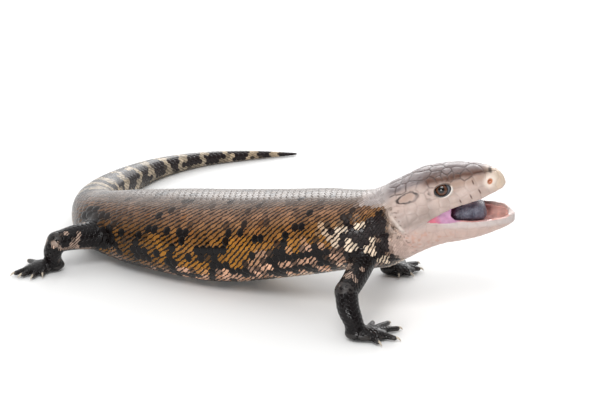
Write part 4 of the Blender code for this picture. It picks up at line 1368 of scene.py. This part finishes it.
    # Relief: sunken seams, domed shields, and folds in the lining.
    zone = ease(t, -15.5, -13.5) * (1 - inside) * ease(near_eye, 7.0, 7.8) * ease(hole, 1.8, 2.6)
    relief = (-0.36 * ease(seam, 0.60, 0.05) + 0.22 * ease(seam, 0.3, 2.4)) * zone
    relief *= 0.40 + 0.60 * ease(ratio, 0.5, 0.9)
    folds = noise3(low * [0.3, 1.0, 1.0], 2.0, 53) - 0.5
    relief += 1.1 * folds * inside * ease(t, 2, 8)
    return tint, seam, depth * zone * (0.35 + 1.1 * noise3(p, 2.2, 49)), inside, relief


# ---- The skin --------------------------------------------------------------------------------

def refine(points, faces, mark):
    """Splits the marked triangles in four, and their neighbours so that no gap opens."""
    edges = np.sort(np.stack([faces, np.roll(faces, -1, 1)], 2), 2).astype(np.int64)
    key = edges[..., 0] * len(points) + edges[..., 1]
    split = np.unique(key[mark])
    middle = (points[split // len(points)] + points[split % len(points)]) / 2
    found = np.clip(np.searchsorted(split, key), 0, len(split) - 1)
    mid = np.where(split[found] == key, len(points) + found, -1)
    number = (mid >= 0).sum(1)
    made = [faces[number == 0]]
    a, b, c = faces[number == 3].T
    x, y, z = mid[number == 3].T
    made += [np.stack(f, 1) for f in ((a, x, z), (x, b, y), (z, y, c), (x, y, z))]
    for k in range(3):
        turned, turned_mid = np.roll(faces, -k, 1), np.roll(mid, -k, 1)
        one = (number == 1) & (turned_mid[:, 0] >= 0)
        a, b, c = turned[one].T
        x = turned_mid[one, 0]
        made += [np.stack(f, 1) for f in ((a, x, c), (x, b, c))]
        two = (number == 2) & (turned_mid[:, 2] < 0)
        a, b, c = turned[two].T
        x, y = turned_mid[two, 0], turned_mid[two, 1]
        made += [np.stack(f, 1) for f in ((a, x, c), (x, y, c), (x, b, y))]
    return np.vstack([points, middle]), np.concatenate(made)


def build_skin():
    """The skin's points and triangles, finest round the eyes, nostrils and ears."""
    points, quads = surface()
    faces = np.vstack([quads[:, [0, 1, 2]], quads[:, [0, 2, 3]]])

    def at(places):
        return places[faces].mean(1)

    head = in_head(at(points))[:, 0] > -21
    feet = (at(points)[:, 2] < 9) & (limb_value(at(points))[0] < 1.0)
    points, faces = refine(points, faces, head | feet)
    side = mirror(in_head(at(points)))
    close = apart(side, EYE) < 8.5
    close |= apart(side, [NOSTRIL_FORWARD, 9.0, NOSTRIL_UP]) < 4.0
    close |= apart(side, [EAR_FORWARD, 20.0, EAR_UP + 1]) < 6.5
    points, faces = refine(points, faces, close)
    return settle(points, 2), faces


def skin_marks(p):
    """The skin's colour, its seams' distance and darkness, share of mouth lining, and relief."""
    s, share = trunk_place(p)
    light, dark = trunk_marks(s, share)
    tint = 0.6 * light + 0.4 * dark
    limb, which = limb_value(p)
    for k, leg in enumerate(LIMB_ROWS):
        mine = (which == k) & (limb < 20)
        if mine.any():
            pale, deep = limb_marks(p[mine], leg)
            part = ease(limb[mine] - trunk_field(p[mine]), 1.5, -1.5)
            tint[mine] = blend(tint[mine], 0.6 * pale + 0.4 * deep, part)
    rest = np.zeros((4, len(p)))
    rest[0] = 9.0
    ahead = in_head(p)[:, 0]
    head = ahead > -22
    made = head_tint(p[head])
    tint[head] = blend(tint[head], made[0], ease(ahead[head], -18, -13))
    rest[:, head] = made[1:]
    return (tint, *rest)


FLESH = [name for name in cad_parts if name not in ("tongue", "eye_left", "eye_right")]
skin_points, skin_faces = build_skin()
tree = BVHTree.FromPolygons(skin_points.tolist(), skin_faces.tolist())
tint, seam, depth, inside, relief = skin_marks(skin_points)
raised = np.abs(relief) > 1e-4
skin_points[raised] += unit(gradient(skin_points[raised])[1]) * relief[raised, None]
skin = mesh_object("skin", skin_points, skin_faces, "body_skin", skin_material(),
                   Tint=tint, Seam=seam, Dark=depth, Lining=inside)
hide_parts(*FLESH)

trunk = trunk_sleeve(tree)
scales = scale_material()
large = Coat(*(((9, 7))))
trunk_scales(large, trunk)
large.make("scales_trunk", "body_skin", scales)
middling, small = Coat(*(((7, 5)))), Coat(4, 3)
leg_scales(middling, small, tree)
middling.make("scales_legs", "leg_skin", scales)
small.make("scales_digits", "leg_skin", scales)


# ---- Eyes, tongue and claws ------------------------------------------------------------------

def eyeball(side, node):
    """A ball with a corneal bulge whose iris rings are measured from its outward axis."""
    ball = bmesh.new()
    bmesh.ops.create_icosphere(ball, subdivisions=5, radius=1.0)
    points = np.array([v.co for v in ball.verts])
    faces = [[v.index for v in f.verts] for f in ball.faces]
    ball.free()
    axis = unit(np.array([0.0, side, 0.26]))
    toward = points @ axis
    off = np.linalg.norm(points - toward[:, None] * axis, axis=1) * EYE_RADIUS
    bulge = 0.45 * hill(off, 0, 2.6) * (toward > 0)
    q = EYE * [1, side, 1] + points * (EYE_RADIUS - 0.05 + bulge)[:, None]
    obj = mesh_object("eyeball_" + node, out_of_head(q), faces, "eye_ball", eye_material(),
                      Ring=np.where(toward > 0, off, 9.0))
    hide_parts("eye_" + node)


eyeball(1, "left")
eyeball(-1, "right")


def tube_faces(rings, around, start=0):
    """Triangles of a tube of rings, closed by the two points that follow its rings."""
    k = start + np.arange(around)
    after = np.roll(k, -1)
    faces = []
    for r in range(0, (rings - 1) * around, around):
        faces += [np.stack([k + r, k + r + around, after + r + around], 1)]
        faces += [np.stack([k + r, after + r + around, after + r], 1)]
    last, end = (rings - 1) * around, np.full(around, start + rings * around)
    faces += [np.stack([end, k, after], 1), np.stack([end + 1, after + last, k + last], 1)]
    return np.concatenate(faces)


def tongue_piece():
    """A thick tongue with a shallow groove down its middle."""
    rows = np.array(TONGUE, float)
    rings, around = 70, 64
    t = np.linspace(rows[0, 0], rows[-1, 0], rings)
    size = smooth(rows[:, 0], rows[:, 1:], t)
    angle = np.linspace(0, 2 * math.pi, around, endpoint=False)
    side, high = np.cos(angle), np.sin(angle)
    points = []
    for here, (half, top, bottom) in zip(t, size):
        middle, tall = (top + bottom) / 2, (top - bottom) / 2
        across = np.sign(side) * abs(side) ** 0.85 * half
        groove = 0.5 * hill(across, 0, 1.1) * (high > 0) * ease(here, 8, 16)
        up = middle + np.sign(high) * abs(high) ** 0.85 * tall - groove
        points.append(np.stack([np.full(around, here), across, up], 1))
    points = np.concatenate(points)
    root = [rows[0, 0] - 0.3, 0, points[:around, 2].mean()]
    tip = [rows[-1, 0] + 0.2, 0, points[-around:, 2].mean()]
    q = np.vstack([points, root, tip])
    faces = tube_faces(rings, around)
    obj = mesh_object("blue_tongue", out_of_head(q, LOW_FRAME), faces, "tongue_flesh",
                      tongue_material(), Root=ease(q[:, 0], 19, 14))
    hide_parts("tongue")


tongue_piece()


def claw_pieces():
    """A curved, flattened claw at the end of every digit, down to the floor."""
    points, faces = [], []
    rings, around = 13, 12
    for path, ahead, tip in DIGITS:
        pad = np.array(path[-1][:3])
        base = pad - ahead * 0.6 + [0, 0, 0.25]
        end = tip + [0, 0, 0.15]
        control = pad + ahead * 2.4 + [0, 0, 0.95]
        across = np.cross(ahead, [0, 0, 1.0])
        faces.append(tube_faces(rings, around, len(points)))
        for u in np.linspace(0, 1, rings):
            centre = (1 - u) ** 2 * base + 2 * u * (1 - u) * control + u * u * end
            way = unit(2 * (1 - u) * (control - base) + 2 * u * (end - control))
            up = np.cross(across, way)
            half = 0.95 * (1 - u) ** 0.7 + 0.07
            for turn in np.arange(0, -around, -1) * 2 * math.pi / around:
                out = 0.72 * math.cos(turn) * across + math.sin(turn) * up
                points.append(centre + half * out)
        points += [base, end]
    points = np.array(points)
    points[:, 2] = np.maximum(points[:, 2], FLOOR_GAP)
    mesh_object("claws", points, np.concatenate(faces), "leg_skin", claw_material())


claw_pieces()

# ---- Floor, lights and camera ----------------------------------------------------------------

bpy.ops.mesh.primitive_plane_add(size=4.0, location=(0, 0, -0.0002))
ground = bpy.context.object
ground.name = "floor"
ground.data.materials.append(floor_material())


def studio():
    """Light from all round, brightest behind and above the animal and dim in front of it."""
    s = Shader(bpy.data.worlds.new("Studio"), "Background")
    ways = {0: s.node("TexCoord").outputs["Generated"], 1: (-0.33, 0.72, 0.61)}
    facing = s.node("VectorMath", ways, operation="DOT_PRODUCT").outputs["Value"]
    return s.set(Color=(1.0, 1.0, 1.0, 1), Strength=s.span(facing, -0.5, 0.75, 0.09, 1.25))


bpy.context.scene.world = studio()


def aim(thing, target):
    thing.rotation_euler = (Vector(target) - thing.location).to_track_quat("-Z", "Y").to_euler()


def area_light(name, place, target, size, power):
    data = bpy.data.lights.new(name, "AREA")
    data.shape = "RECTANGLE"
    data.size, data.size_y = size
    data.energy = power
    lamp = bpy.data.objects.new(name, data)
    bpy.context.scene.collection.objects.link(lamp)
    lamp.location = place
    aim(lamp, target)


area_light("key", (0.25, -0.75, 1.0), (0, 0, 0.02), (0.7, 0.45), 6.5)
area_light("back", (-0.3, 1.1, 0.55), (0, 0, 0.03), (1.2, 0.5), 8.5)
area_light("spark", (0.24, -0.965, 0.19), (0.05, -0.02, 0.05), (0.16, 0.16), 3.3)

camera_data = bpy.data.cameras.new("Camera")
camera_data.lens = 100.0
camera_data.sensor_width = 36.0
camera_data.clip_start = 0.01
camera = bpy.data.objects.new("Camera", camera_data)
bpy.context.scene.collection.objects.link(camera)
camera.location = (0.4922, -0.8894, 0.3933)
aim(camera, (-0.0317, 0.0557, 0.0))
bpy.context.scene.camera = camera
bpy.context.scene.view_settings.view_transform = "Standard"
